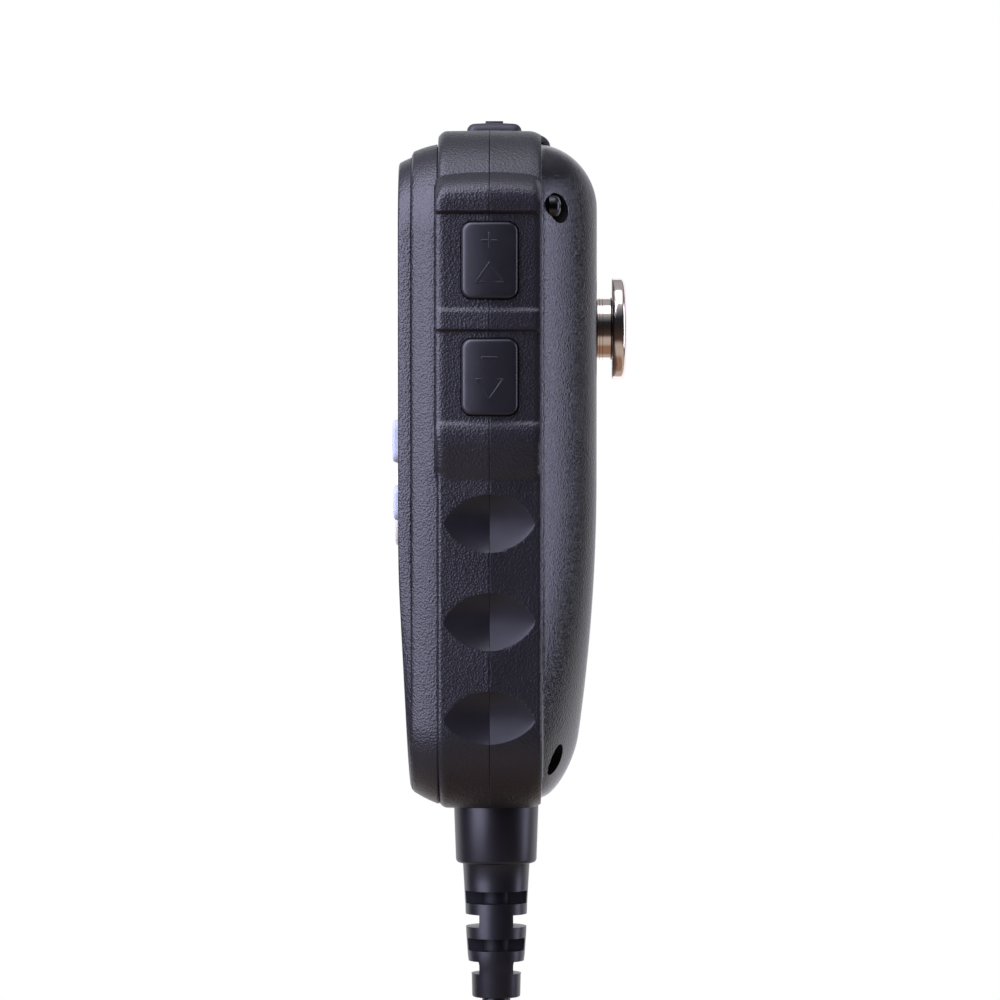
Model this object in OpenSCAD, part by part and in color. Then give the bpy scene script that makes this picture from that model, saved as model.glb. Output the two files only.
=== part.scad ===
// Hand microphone of a CB radio, with its curly cord and plug.
// Millimetres, +Z up, -Y is the front, +X is the side with the volume keys.
// The origin is the point where the axis of the hang-up stud leaves the back of the case.

/* [Case] */
// Height of the case
case_h = 106; // [102:1:116]
// Depth of the case, from the face of the front panel to the back
case_d = 31; // [30:0.5:35]
// Width of the case near its top
case_top_w = 58; // [57:1:66]
// Width of the case near its bottom
case_bottom_w = 50; // [49:1:58]
// Radius of the case's corners, seen from the front
corner_r = 15; // [14.9:0.1:16.5]
// Wall thickness of the shells
wall = 1.8; // [1.6:0.1:2.1]
// Distance from the back to the parting plane
parting_d = 16.8; // [16.2:0.2:17.4]
// Width of the grip band round the parting plane
band_w = 16; // [15.4:0.2:17]
// Radius of the bend in the lower half of the back, seen from the side
back_bend_r = 287; // [250:1:400]
// Slope of the lower part of the front, as rise over run
face_slope = 0.052; // [0.03:0.001:0.054]

/* [Front panel] */
// Depth of the front panel's rim, in front of its seam
panel_t = 2; // [1.95:0.05:2.4]
// Depth of the panel's body that sits in the front shell
panel_plug_t = 1.5; // [1.3:0.1:1.8]
// Thickness of the front shell's front wall, behind the panel
front_wall = 1.7; // [1.4:0.1:2.2]
// Width of the display window
window_w = 38; // [34:1:39]
// Height of the display window
window_h = 24; // [20:1:25]
// Number of slots over the loudspeaker
slot_count = 7; // [5:2:9]
// Height of one slot over the loudspeaker
slot_h = 1.4; // [1:0.1:1.8]

/* [Hang-up stud] */
// Distance from the top of the case to the stud's axis
stud_drop = 30; // [29:0.5:33]
// Diameter of the stud's head
stud_head_d = 16.4; // [14:0.1:18]
// Thickness of the stud's head at its rim
stud_head_t = 2.3; // [2:0.1:3]
// Diameter of the stud's neck
stud_neck_d = 9.9; // [8:0.1:11]
// Length of the stud's neck, from the back to the head
stud_neck_l = 2.6; // [2.2:0.1:4]

/* [Keys] */
// Travel of every key
key_travel = 0.6; // [0.4:0.1:0.8]
// Gap between a key and its opening
key_gap = 0.25; // [0.2:0.05:0.35]
// Width of a volume key, across the band
volume_w = 8.7; // [8:0.1:9.2]
// Height of a volume key
volume_h = 11.8; // [11:0.1:12.2]
// Distance between the centres of the volume keys
volume_pitch = 17.9; // [17.6:0.1:18.4]
// Height of a volume key over the floor of its pocket
volume_proud = 0.9; // [0.7:0.1:1.3]
// Depth of a top key, across the band
top_key_d = 8.6; // [7.6:0.1:9]
// Width of a top key
top_key_w = 12; // [10:0.5:12.5]
// Height of a top key over the top of the case
top_key_proud = 2; // [1.5:0.1:2.6]
// Width of a key in the front row
row_key_w = 12.5; // [11.5:0.5:12.5]
// Height of a key in the front row
row_key_h = 6.6; // [6:0.1:6.8]
// Height of a front row key over the panel
row_key_proud = 1.05; // [0.8:0.05:1.5]
// Diameter of the rocker ring
ring_d = 12.2; // [11.8:0.1:12.4]
// Height of the rocker ring over the panel
ring_proud = 0.57; // [0.5:0.01:0.9]
// Diameter of the select key in the ring
select_d = 5.5; // [5:0.1:6]
// Width of the keys beside the ring
side_key_w = 11; // [9:0.5:11.5]
// Height of the keys beside the ring
side_key_h = 5.5; // [4.5:0.1:6]

/* [Push-to-talk bar] */
// Width of the bar, across the band
ptt_w = 10.4; // [9.4:0.1:10.8]
// Height of the bar
ptt_h = 32; // [30:0.5:32]
// Height of the bar over its block
ptt_proud = 1.6; // [1.2:0.1:2.2]
// Angle that the bar turns through
ptt_angle = 3.2; // [2.5:0.1:3.4]
// Diameter of the hinge pin
ptt_pin_d = 2; // [1.6:0.1:2.2]
// Running clearance of the hinge pin, on the radius
pin_clear = 0.03; // [0.02:0.01:0.06]

/* [Boards and loudspeaker] */
// Thickness of the main board
board_t = 1.6; // [1.2:0.1:1.8]
// Thickness of the small boards
small_board_t = 1; // [0.8:0.1:1.2]
// Diameter of the loudspeaker
speaker_d = 31; // [28:0.5:32]
// Depth of the loudspeaker with its magnet
speaker_depth = 12; // [11:0.5:13]
// Diameter of the loudspeaker's magnet
magnet_d = 17; // [14:0.5:18]
// Diameter of the microphone capsule
mic_d = 6; // [5:0.1:6.4]

/* [Screws] */
// Diameter of a casing screw
case_screw_d = 2.5; // [2.2:0.1:2.6]
// Diameter of a casing screw's head
case_screw_head_d = 4.2; // [4:0.1:4.4]
// Diameter of the hole that a casing screw's head goes down
screw_hole_d = 4.9; // [4.7:0.1:5]
// Diameter of a board screw
board_screw_d = 2; // [1.6:0.1:2]

/* [Cord] */
// Diameter of the cord
cord_d = 4.6; // [4.2:0.1:4.8]
// Outer diameter of the curls
curl_d = 20; // [18:0.5:22]
// Distance from one curl to the next
curl_pitch = 5; // [4.95:0.05:6]
// Number of curls
curl_count = 28; // [10:1:40]
// Diameter of the boot's collar
boot_collar_d = 13.5; // [12:0.1:14]
// Length of the boot's collar
boot_collar_l = 9.6; // [8:0.1:11]
// Diameter of the boot below its collar
boot_d = 10.7; // [9.6:0.1:11.5]
// Diameter of the boot's tip
boot_tip_d = 7.7; // [7:0.1:8.5]
// Length of the boot below its collar
boot_l = 21.2; // [20:0.1:26]
// Width of the struts between the boot's slots
boot_strut_w = 5.4; // [5.2:0.1:6.2]

/* [Plug] */
// Diameter of the plug's coupling ring
plug_ring_d = 18.8; // [18:0.1:20]
// Length of the plug's coupling ring
plug_ring_l = 15; // [13:0.5:16]
// Diameter of the plug's shell
plug_shell_d = 13.8; // [13:0.1:14.2]
// Number of pins
pin_count = 6; // [4:1:8]

/* [Hidden] */
$fn = 20;

// Levels of the case: heights from the stud, depths from the back
z_top = stud_drop;
z_bot = z_top - case_h;
y_face = -case_d;
y_seam = y_face + panel_t;
y_plug = y_seam + panel_plug_t;
y_part = -parting_d;
y_bf = y_part - band_w / 2;
y_br = y_part + band_w / 2;
seat_gap = 0.1;
y_recess = y_plug + seat_gap;
y_cav = y_recess + front_wall;

// Main board, keys and mat, counted back from the front wall
mat_gap = 0.5;
mat_t = 1.7;
y_mat = y_cav + mat_gap;
y_board = y_mat + mat_t;
y_board_back = y_board + board_t;
pad_gap = key_travel + 0.15;
flange_gap = 0.3;
flange_t = 1.1;
flange_w = 0.7;

// Front-view outline of the band: two corner circles a side, and the line that touches both
arc_n = 8;
side_n = 10;
top_c = [case_top_w / 2 - corner_r, z_top - corner_r];
low_c = [case_bottom_w / 2 - corner_r, z_bot + corner_r];
side_angle = atan2(top_c[1] - low_c[1], top_c[0] - low_c[0]) - 90;
side_n_vec = [cos(side_angle), sin(side_angle)];
side_top = top_c + corner_r * side_n_vec;
side_low = low_c + corner_r * side_n_vec;

function lerp(a, b, t) = a + (b - a) * t;
function side_x(z) = lerp(side_low[0], side_top[0], (z - side_low[1]) / (side_top[1] - side_low[1]));
function on_arc(c, a) = [c[0] + corner_r * cos(a), c[1] + corner_r * sin(a), cos(a), sin(a)];
function on_side(t) = concat(lerp(side_top, side_low, t), side_n_vec);

// Right half of the outline from the top to the bottom, as [x, z, normal x, normal z]
half = concat(
  [[0, z_top, 0, 1]],
  [for (i = [0:arc_n]) on_arc(top_c, lerp(90, side_angle, i / arc_n))],
  [for (i = [1:side_n - 1]) on_side(i / side_n)],
  [for (i = [0:arc_n]) on_arc(low_c, lerp(side_angle, -90, i / arc_n))],
  [[0, z_bot, 0, -1]]
);
half_n = len(half) - 1;
ring_n = 2 * half_n;

// The lower part of the back bends forward, and the lower part of the face slopes back
back_bend_z = -24;
face_bend_z = -33;
face_bend_l = 12;
function back_y(z) = -pow(max(0, back_bend_z - z), 2) / (2 * back_bend_r);
function ramp(t, l) = t <= 0 ? 0 : t < l ? t * t / (2 * l) : t - l / 2;
function face_y(z) = y_face + face_slope * ramp(face_bend_z - z, face_bend_l);

// A station is [inset of the sides, inset of the ends, shift up, start depth, share of the way to the target]
function station_half(s) = [for (p = half) [p[0] - s[0] * p[2], p[1] - s[1] * p[3] + s[2]]];
function station_ring(s) =
  let (h = station_half(s))
  concat(h, [for (i = [half_n - 1:-1:1]) [-h[i][0], h[i][1]]]);

// Body of stacked outlines, from the front to the back; shift moves the curved surface that it runs to
module loft(stations, to_face = false, shift = 0) {
  last = (len(stations) - 1) * ring_n;
  points = [
    for (s = stations)
      for (p = station_ring(s))
        [p[0], lerp(s[3], (to_face ? face_y(p[1]) : back_y(p[1])) + shift, s[4]), p[1]]
  ];
  sides = [
    for (j = [0:len(stations) - 2])
      for (i = [0:ring_n - 1])
        let (a = j * ring_n + i, b = j * ring_n + (i + 1) % ring_n)
        each [[a, a + ring_n, b + ring_n], [a, b + ring_n, b]]
  ];
  front = concat(
    [for (i = [0:half_n - 1]) [i, i + 1, ring_n - i - 1]],
    [for (i = [1:half_n - 1]) [i, ring_n - i - 1, ring_n - i]]
  );
  front_faces = [for (f = front) if (f[0] != f[1] && f[1] != f[2] && f[0] != f[2]) f];
  back_faces = [for (f = front_faces) [f[2] + last, f[1] + last, f[0] + last]];
  polyhedron(points = points, faces = concat(front_faces, sides, back_faces), convexity = 6);
}

// Band and strips of the shells
band_edge = 0.5;
band_crown = 0.3;
strip_shift = -0.7;
strip_inset = 1.4;
seam_inset = 3;
seam_shift = -0.2;
rear_step = [1.6, 1.7];
rear_draft = [9, 0.8];
rear_round = [4, 9.3];
rear_steps = 8;
function rear_station(t, y0, extra) =
  let (u = sin(t), c = 1 - cos(t))
  [rear_step[0] + rear_draft[0] * u + rear_round[0] * c + extra,
   rear_step[1] + rear_draft[1] * u + rear_round[1] * c + extra, 0, y0, u];

module front_outer() {
  loft([
    [seam_inset, seam_inset, seam_shift, y_seam, 0],
    [strip_inset, strip_inset, strip_shift, y_bf - 0.05, 0],
    [band_edge, band_edge, 0, y_bf, 0],
    [band_crown, band_crown, 0, y_bf + 0.5, 0],
    [0, 0, 0, y_part, 0]
  ]);
}

module front_cavity() {
  strip_wall = strip_inset + wall;
  loft([
    [strip_wall + 0.2, strip_wall + 0.2, strip_shift, y_cav, 0],
    [strip_wall, strip_wall, strip_shift, y_bf + 0.2, 0],
    [wall + 0.1, wall + 0.1, 0, y_bf + 1.8, 0],
    [wall, wall, 0, y_part + 1, 0]
  ]);
}

module rear_outer() {
  loft(concat(
    [[0, 0, 0, y_part, 0],
     [band_crown, band_crown, 0, y_br - 0.5, 0],
     [band_edge, band_edge, 0, y_br, 0]],
    [for (i = [0:rear_steps]) rear_station(90 * i / rear_steps, y_br, 0)]
  ));
}

module rear_cavity() {
  loft(concat(
    [[wall, wall, 0, y_part - 1, 0], [wall + 0.3, wall + 0.3, 0, y_br - wall, 0]],
    [for (i = [0:rear_steps - 1]) rear_station(88 * i / (rear_steps - 1), y_br - 0.7 * wall, 0.85 * wall)]
  ), shift = -wall);
}

// Places its children on a side of the case: local X points out of the band, local Z runs up the side
module on_band(sign) {
  mirror([sign < 0 ? 1 : 0, 0, 0])
    translate([side_x(0), y_part, 0])
      rotate([0, -side_angle, 0])
        children();
}

// Prism with round corners: along X, along Y or along Z, from a to b
module prism_x(a, b, w, h, r) {
  hull()
    for (y = [-1, 1], z = [-1, 1])
      translate([a, y * (w / 2 - r), z * (h / 2 - r)])
        rotate([0, 90, 0])
          cylinder(r = r, h = b - a);
}

module prism_y(a, b, w, h, r) {
  hull()
    for (x = [-1, 1], z = [-1, 1])
      translate([x * (w / 2 - r), a, z * (h / 2 - r)])
        rotate([-90, 0, 0])
          cylinder(r = r, h = b - a);
}

module prism_z(a, b, w, d, r) {
  hull()
    for (x = [-1, 1], y = [-1, 1])
      translate([x * (w / 2 - r), y * (d / 2 - r), a])
        cylinder(r = r, h = b - a);
}

module tube_y(r, a, b) {
  translate([0, a, 0])
    rotate([-90, 0, 0])
      cylinder(r = r, h = b - a);
}

// Raised blocks on the sides, in the frame of on_band()
block_rise = 2;
block_floor = 1;
block_ledge = 1.7;
block_edge_r = 1.4;
volume_up_z = 9.4;
volume_down_z = volume_up_z - volume_pitch;
pocket_margin = 1.2;
volume_top = volume_up_z + volume_h / 2 + pocket_margin;
volume_mid = (volume_up_z + volume_down_z) / 2 - 2;
volume_low = volume_down_z - volume_h / 2 - 1;
ptt_z = -3.5;
ptt_top = ptt_z + ptt_h / 2;
ptt_low = ptt_z - ptt_h / 2;
block_root = -3.5;
block_in = -1.1;
block_side = 0.1;
block_w = band_w - 2 * block_side;
block_cut = case_h + 14;

module volume_block() {
  block_body([
    [block_root, volume_top + 7], [0.5, volume_top + 5], [block_rise - 0.2, volume_top + 3],
    [block_rise, volume_top + 1.5], [block_rise - 0.2, volume_top + 0.3],
    [block_floor, volume_top], [block_floor, volume_mid + 2.8],
    [block_ledge, volume_mid + 0.3], [block_ledge, volume_mid],
    [block_floor, volume_mid - 0.3], [block_floor, volume_low],
    [block_ledge - 0.1, volume_low - 0.5], [block_ledge, volume_low - 1.4],
    [block_ledge - 0.2, volume_low - 3.6], [-0.6, volume_low - 8.8], [block_in, volume_low - 9.7],
    [block_in, volume_top]
  ]);
}

module ptt_block() {
  block_body([
    [block_root, volume_top + 7], [0.5, volume_top + 5], [block_rise - 0.2, volume_top + 3],
    [block_rise, volume_top + 1.5], [block_ledge, ptt_top + 2],
    [block_ledge - 0.35, ptt_low - 1], [block_ledge - 0.6, ptt_low - 2.6],
    [-0.6, ptt_low - 6.4], [block_in, ptt_low - 7.2], [block_in, volume_top]
  ]);
}

module block_body(profile) {
  intersection() {
    translate([0, band_w / 2, 0])
      rotate([90, 0, 0])
        linear_extrude(band_w)
          polygon(profile);
    hull() {
      for (y = [-1, 1])
        translate([block_rise + 0.06 - block_edge_r, y * (block_w / 2 - block_edge_r), -block_cut / 2])
          cylinder(r = block_edge_r, h = block_cut);
      translate([block_root - 1, -block_w / 2, -block_cut / 2])
        cube([1, block_w, block_cut]);
    }
  }
}

// Finger scallops: two cones base to base on each dip, deepest on the parting line
scallop_l = 14.2;
scallop_h = 8.6;
scallop_depth = 1.45;
scallop_pitch = 14.95;
scallop_z = volume_low - 15.6;
scallop_count = 3;
scallop_big_r = (pow(scallop_h / 2, 2) / scallop_depth + scallop_depth) / 2;
scallop_axis = scallop_big_r - scallop_depth;
grip_pad_t = 1.6;

module scallops() {
  for (i = [0:scallop_count - 1])
    translate([scallop_axis, 0, scallop_z - i * scallop_pitch])
      for (s = [-1, 1])
        rotate([90 * s, 0, 0])
          cylinder(r1 = scallop_big_r, r2 = scallop_axis, h = scallop_l / 2, $fn = 64);
}

module grip_pad() {
  l = (scallop_count - 1) * scallop_pitch + scallop_h + 1;
  translate([-wall - grip_pad_t, -scallop_l / 2, scallop_z + scallop_h / 2 + 0.5 - l])
    cube([grip_pad_t + 0.3, scallop_l, l]);
}

// Casing screws: upper and lower pair, each as [x, z, depth of the head's seat]
screw_top = [case_top_w / 2 - 4.15, z_top - 12.1, y_br - 0.9];
screw_low = [case_bottom_w / 2 - 6.9, z_bot + 8.3, y_br - 1.6];
screw_l = 11;
screw_head_h = 1.6;
boss_r = screw_hole_d / 2 + 1;
post_r = case_screw_d / 2 + 1.15;
screw_clear = 0.2;

module at_screws() {
  for (s = [screw_top, screw_low], side = [-1, 1])
    translate([side * s[0], s[2], s[1]])
      children();
}

// Top keys and their board
top_key_x = top_key_w / 2 + 1.2;
top_key_y = y_part + 0.7;
top_flange = z_top - wall - flange_gap;
top_stem = top_flange - flange_t - 0.9;
top_board_z = top_stem - pad_gap;
top_board_w = 2 * top_key_x + 9;
top_rib_x = top_board_w / 2 - 2;

// Places of the front keys, and the opening behind them
row_z = -18.2;
row_pitch = 14;
ring_z = -28.6;
side_key_z = -27.8;
keypad_w = 2 * (row_pitch + row_key_w / 2 + flange_w + 0.25);
keypad_top = row_z + row_key_h / 2 + 1;
keypad_low = ring_z - ring_d / 2 - 1.2;

// Board posts
board_half_w = side_x(ptt_low) - 6.9;
board_top = top_board_z - small_board_t - 1;
speaker_gap = 2.1;
speaker_z = keypad_low - speaker_gap - speaker_d / 2;
board_low = speaker_z + speaker_d / 2 + 0.4;
post_z = [board_top - 1.6, board_low + 2.3];
board_post_r = board_screw_d / 2 + 0.9;

module at_board_posts() {
  for (z = post_z, side = [-1, 1])
    translate([side * (board_half_w - 2.4), 0, z])
      children();
}

// Small boards behind the volume keys and the push-to-talk bar, in the frame of on_band()
wall_under_key = 1.8;
key_pocket = block_floor - wall_under_key;
key_flange = key_pocket - flange_gap;
volume_stem = key_flange - flange_t - 1.5;
volume_board_x = volume_stem - pad_gap;
small_board_w = 8;
rib_t = 1.6;
rib_gap = 0.1;
volume_board_z = [volume_down_z - 4, volume_up_z + 4];
ptt_pocket = block_ledge - wall_under_key - 0.6;
ptt_inner = ptt_pocket - flange_gap;
ptt_pin_x = ptt_inner - flange_t - 1.5;
ptt_pin_z = ptt_low + 2.2;
ptt_nub_z = 4;
ptt_nub_l = 1.6;
ptt_switch_gap = (ptt_nub_z - ptt_pin_z) * sin(ptt_angle) + 0.2;
ptt_switch_h = 2;
ptt_switch_x = ptt_inner - flange_t - ptt_nub_l - ptt_switch_gap;
ptt_board_x = ptt_switch_x - ptt_switch_h;
ptt_board_z = [ptt_nub_z - 7, ptt_nub_z + 6];
barrel_l = ptt_w - 2;
lug_l = 2;
lug_gap = 0.3;

// Rib with a slot for the edge of a small board; it runs under the key's opening and joins the wall beside it
// dir is -1 in the front shell and 1 in the rear shell, top is as far out as it may come under the key
rib_in = 5.7;
rib_out = 7.2;
module board_rib(board_x, z, dir, top) {
  edge = small_board_w / 2;
  low = board_x - small_board_t - 0.7;
  root = max(low, board_half_w + 0.6 - side_x(z));
  mirror([0, dir < 0 ? 1 : 0, 0])
    translate([0, 0, z - rib_t / 2]) {
      difference() {
        translate([low, edge - 1, 0])
          cube([top - low, 1.8, rib_t]);
        translate([board_x - small_board_t - rib_gap, edge - 2, -rib_t])
          cube([small_board_t + 2 * rib_gap, 2 + rib_gap, 3 * rib_t]);
      }
      translate([root, edge + 0.6, 0])
        cube([top - root, rib_out - edge - 0.6, rib_t]);
      translate([root, rib_in, 0])
        cube([-root, rib_out - rib_in, rib_t]);
    }
}

module side_ribs(dir) {
  on_band(1)
    for (z = [volume_board_z[0] + 2, volume_board_z[1] - 2])
      board_rib(volume_board_x, z, dir, pocket_in - 0.1);
  on_band(-1)
    for (z = [ptt_board_z[0] + 2, ptt_board_z[1] - 2])
      board_rib(ptt_board_x, z, dir, ptt_pocket_in - 0.2);
}

// Lug that holds one end of the hinge pin
module pin_lug(dir) {
  y = barrel_l / 2 + lug_gap;
  translate([ptt_pin_x, dir * (y + lug_l / 2), ptt_pin_z])
    difference() {
      translate([-2, -lug_l / 2, -2])
        cube([2 - ptt_pin_x - 0.4, lug_l, 4]);
      tube_y(ptt_pin_d / 2 + 0.06, dir < 0 ? -lug_l / 2 + 0.4 : -lug_l, dir < 0 ? lug_l : lug_l / 2 - 0.4);
    }
}

module top_rib(dir) {
  for (side = [-1, 1])
    translate([side * top_rib_x, top_key_y + dir * small_board_w / 2, 0])
      difference() {
        translate([-rib_t / 2, dir < 0 ? -3.1 : -1, top_board_z - small_board_t - 0.7])
          cube([rib_t, 4.1, z_top - top_board_z + small_board_t + 0.2]);
        translate([-rib_t, dir < 0 ? -rib_gap : -1 - rib_gap, top_board_z - small_board_t - rib_gap])
          cube([2 * rib_t, 1 + 2 * rib_gap, small_board_t + 2 * rib_gap]);
      }
}

// Everything that is cut through both shells
module key_openings() {
  on_band(1)
    for (z = [volume_up_z, volume_down_z])
      translate([0, 0, z]) {
        prism_x(-2.9, 6, volume_w + 2 * key_gap, volume_h + 2 * key_gap, 1.2);
        prism_x(pocket_in, key_pocket, volume_w + 2 * flange_room, volume_h + 2 * flange_room, 1.2);
      }
  on_band(-1)
    translate([0, 0, ptt_z]) {
      translate([0, 0, ptt_end_gap / 2])
        prism_x(ptt_in, 6, ptt_w + 2 * ptt_gap, ptt_h + 2 * ptt_gap + ptt_end_gap, 1.4);
      translate([0, 0, 3])
        prism_x(ptt_pocket_in, ptt_pocket, ptt_w - 2, ptt_h, 0.5);
    }
  for (side = [-1, 1])
    translate([side * top_key_x, top_key_y, 0]) {
      prism_z(top_in + 0.3, z_top + 5, top_key_w + 2 * key_gap, top_key_d + 2 * key_gap, 1.2);
      prism_z(top_in, z_top - wall, top_key_w + 2 * flange_room - 0.6, top_key_d + 2 * flange_room, 1.2);
    }
}
flange_room = flange_w + key_gap;
ptt_gap = 0.3;
ptt_pocket_in = -5;
ptt_end_gap = 0.4;
ptt_in = ptt_inner - flange_t - 0.3;
pocket_in = key_flange - flange_t - key_travel - 0.5;
top_in = top_flange - flange_t - key_travel - 0.3;

// Boot and cord line
boot_y = y_part + 1;
boot_neck_r = boot_collar_d / 2 - 1.8;
boot_flange_r = boot_collar_d / 2 - 0.2;
boot_flange_t = 1.7;
boot_flange_z = z_bot + wall + 0.4;
boot_fit = 0.15;
cord_fit = 0.1;
boot_tip_z = z_bot - boot_collar_l - boot_l;
boot_top_z = boot_flange_z + boot_flange_t;

module boot_hole() {
  translate([0, boot_y, z_bot - 5])
    cylinder(r = boot_neck_r + boot_fit, h = 5 + wall + 3);
}

// Speaker, microphone and the openings of the front wall
speaker_rim = 1;
speaker_hole_r = speaker_d / 2 - speaker_rim;
mic_x = 17.5;
mic_cup_r = mic_d / 2 + 1;
mic_gap = 0.5;
mic_z = speaker_z + sqrt(pow(speaker_d / 2 + mic_cup_r + mic_gap, 2) - mic_x * mic_x);
window_z = 6;
window_flange = 1.3;
flange_full_w = window_w + 2 * window_flange;
flange_full_h = window_h + 2 * window_flange;
glass_w = window_w + 2;
glass_h = window_h + 2.2;
status_z = window_z + window_h / 2 + 3.8;
status_r = 1;

module front_shell() {
  color("#3b3b42") {
    difference() {
      union() {
        difference() {
          front_outer();
          front_cavity();
        }
        intersection() {
          front_outer();
          union() {
            at_screws()
              translate([0, -screw_top[2], 0])
                tube_y(post_r, y_cav - 0.5, y_part);
            at_board_posts()
              tube_y(board_post_r, y_cav - 0.5, y_board);
            for (side = [-1, 1])
              on_band(side)
                grip_pad();
            side_ribs(-1);
            on_band(-1)
              pin_lug(-1);
            top_rib(-1);
          }
        }
        intersection() {
          union() {
            on_band(1)
              volume_block();
            on_band(-1)
              ptt_block();
          }
          translate([-block_cut / 2, y_bf, -block_cut / 2])
            cube([block_cut, band_w / 2, block_cut]);
        }
      }
      for (side = [-1, 1])
        on_band(side)
          scallops();
      key_openings();
      boot_hole();
      // Recess for the panel's body
      loft([
        [seam_inset + 2.3, seam_inset + 2.3, seam_shift, y_seam - 1, 0],
        [seam_inset + 2.3, seam_inset + 2.3, seam_shift, y_recess, 0]
      ]);
      // Windows in the front wall
      translate([0, 0, window_z])
        prism_y(y_recess - 1, y_cav + 0.01, glass_w + 0.6, glass_h + 0.6, 0.6);
      translate([0, 0, (keypad_top + keypad_low) / 2])
        prism_y(y_recess - 1, y_cav + 0.01, keypad_w, keypad_top - keypad_low, 1);
      translate([0, 0, speaker_z])
        tube_y(speaker_hole_r, y_recess - 1, y_cav + 0.01, $fn = 64);
      translate([mic_x, 0, mic_z])
        tube_y(mic_d / 2 - 0.6, y_recess - 1, y_cav + 0.01);
      translate([0, 0, status_z])
        tube_y(status_r + 0.15, y_recess - 1, y_cav + 0.01);
      at_screws()
        translate([0, -screw_top[2], 0])
          tube_y(case_screw_d / 2 + 0.05, y_br - 1.6 - screw_l - 0.6, y_part + 1);
      at_board_posts()
        tube_y(board_screw_d / 2 + 0.05, y_cav + 0.2, y_board + 1);
    }
  }
}

module rear_shell() {
  color("#3a3a41") {
    difference() {
      union() {
        difference() {
          rear_outer();
          rear_cavity();
        }
        intersection() {
          rear_outer();
          union() {
            at_screws() {
              tube_y(boss_r, -1.2, 12);
              tube_y(post_r + 0.1, y_part - screw_top[2] - 2, 0);
            }
            tube_y(8, -4.3, 0);
            for (side = [-1, 1])
              on_band(side)
                grip_pad();
            side_ribs(1);
            on_band(-1)
              pin_lug(1);
            top_rib(1);
          }
        }
        intersection() {
          union() {
            on_band(1)
              volume_block();
            on_band(-1)
              ptt_block();
          }
          translate([-block_cut / 2, y_part, -block_cut / 2])
            cube([block_cut, band_w / 2, block_cut]);
        }
        // Small lip behind the band at the top
        translate([0, y_br + 0.6, 0])
          prism_z(z_top - 3, z_top - 0.9, 2 * top_c[0] - 2, 1.4, 0.5);
      }
      for (side = [-1, 1])
        on_band(side)
          scallops();
      key_openings();
      boot_hole();
      at_screws() {
        tube_y(screw_hole_d / 2, 0, 20);
        tube_y(case_screw_d / 2 + screw_clear, -15, 1);
      }
      // Stud: shallow dish round the neck and the hole for its spigot
      tube_y(stud_neck_d / 2 + 0.5, -stud_dish, 5);
      tube_y(stud_spigot_r + 0.1, -10, 1);
    }
  }
}

// Hang-up stud
stud_dish = 0.6;
stud_spigot_r = 3;
stud_spigot_l = 2;
stud_pad = 4.3;
stud_screw_r = 1.5;
stud_bore_l = 3.4;
washer_t = 1;

module hang_stud() {
  head = stud_neck_l + stud_head_t;
  r = stud_head_d / 2;
  color("#c9c9cc")
    rotate([-90, 0, 0])
      difference() {
        rotate_extrude($fn = 96)
          polygon([
            [0, -stud_dish - stud_spigot_l], [stud_spigot_r, -stud_dish - stud_spigot_l],
            [stud_spigot_r, -stud_dish], [stud_neck_d / 2, -stud_dish],
            [stud_neck_d / 2, stud_neck_l], [r - 0.15, stud_neck_l], [r, stud_neck_l + 0.15],
            [r, head - 0.75], [r - 0.35, head - 0.3], [r - 0.9, head], [0, head + 0.2]
          ]);
        translate([0, 0, -stud_dish - stud_spigot_l - 1])
          cylinder(r = stud_screw_r + 0.05, h = 1 + stud_bore_l);
      }
}

module stud_washer() {
  color("#b5b6ba")
    difference() {
      tube_y(5.2, -stud_pad - washer_t, -stud_pad);
      tube_y(stud_screw_r + 0.2, -stud_pad - washer_t - 1, 1);
    }
}

module stud_screw() {
  seat = -stud_pad - washer_t;
  color("#8d8f94")
    difference() {
      union() {
        tube_y(2.8, seat - 2, seat);
        tube_y(stud_screw_r, seat - 0.5, stud_bore_l - stud_dish - stud_spigot_l - 0.4);
      }
      for (a = [0, 90])
        rotate([0, a, 0])
          translate([-1.6, seat - 3, -0.3])
            cube([3.2, 2.1, 0.6]);
    }
}

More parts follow.
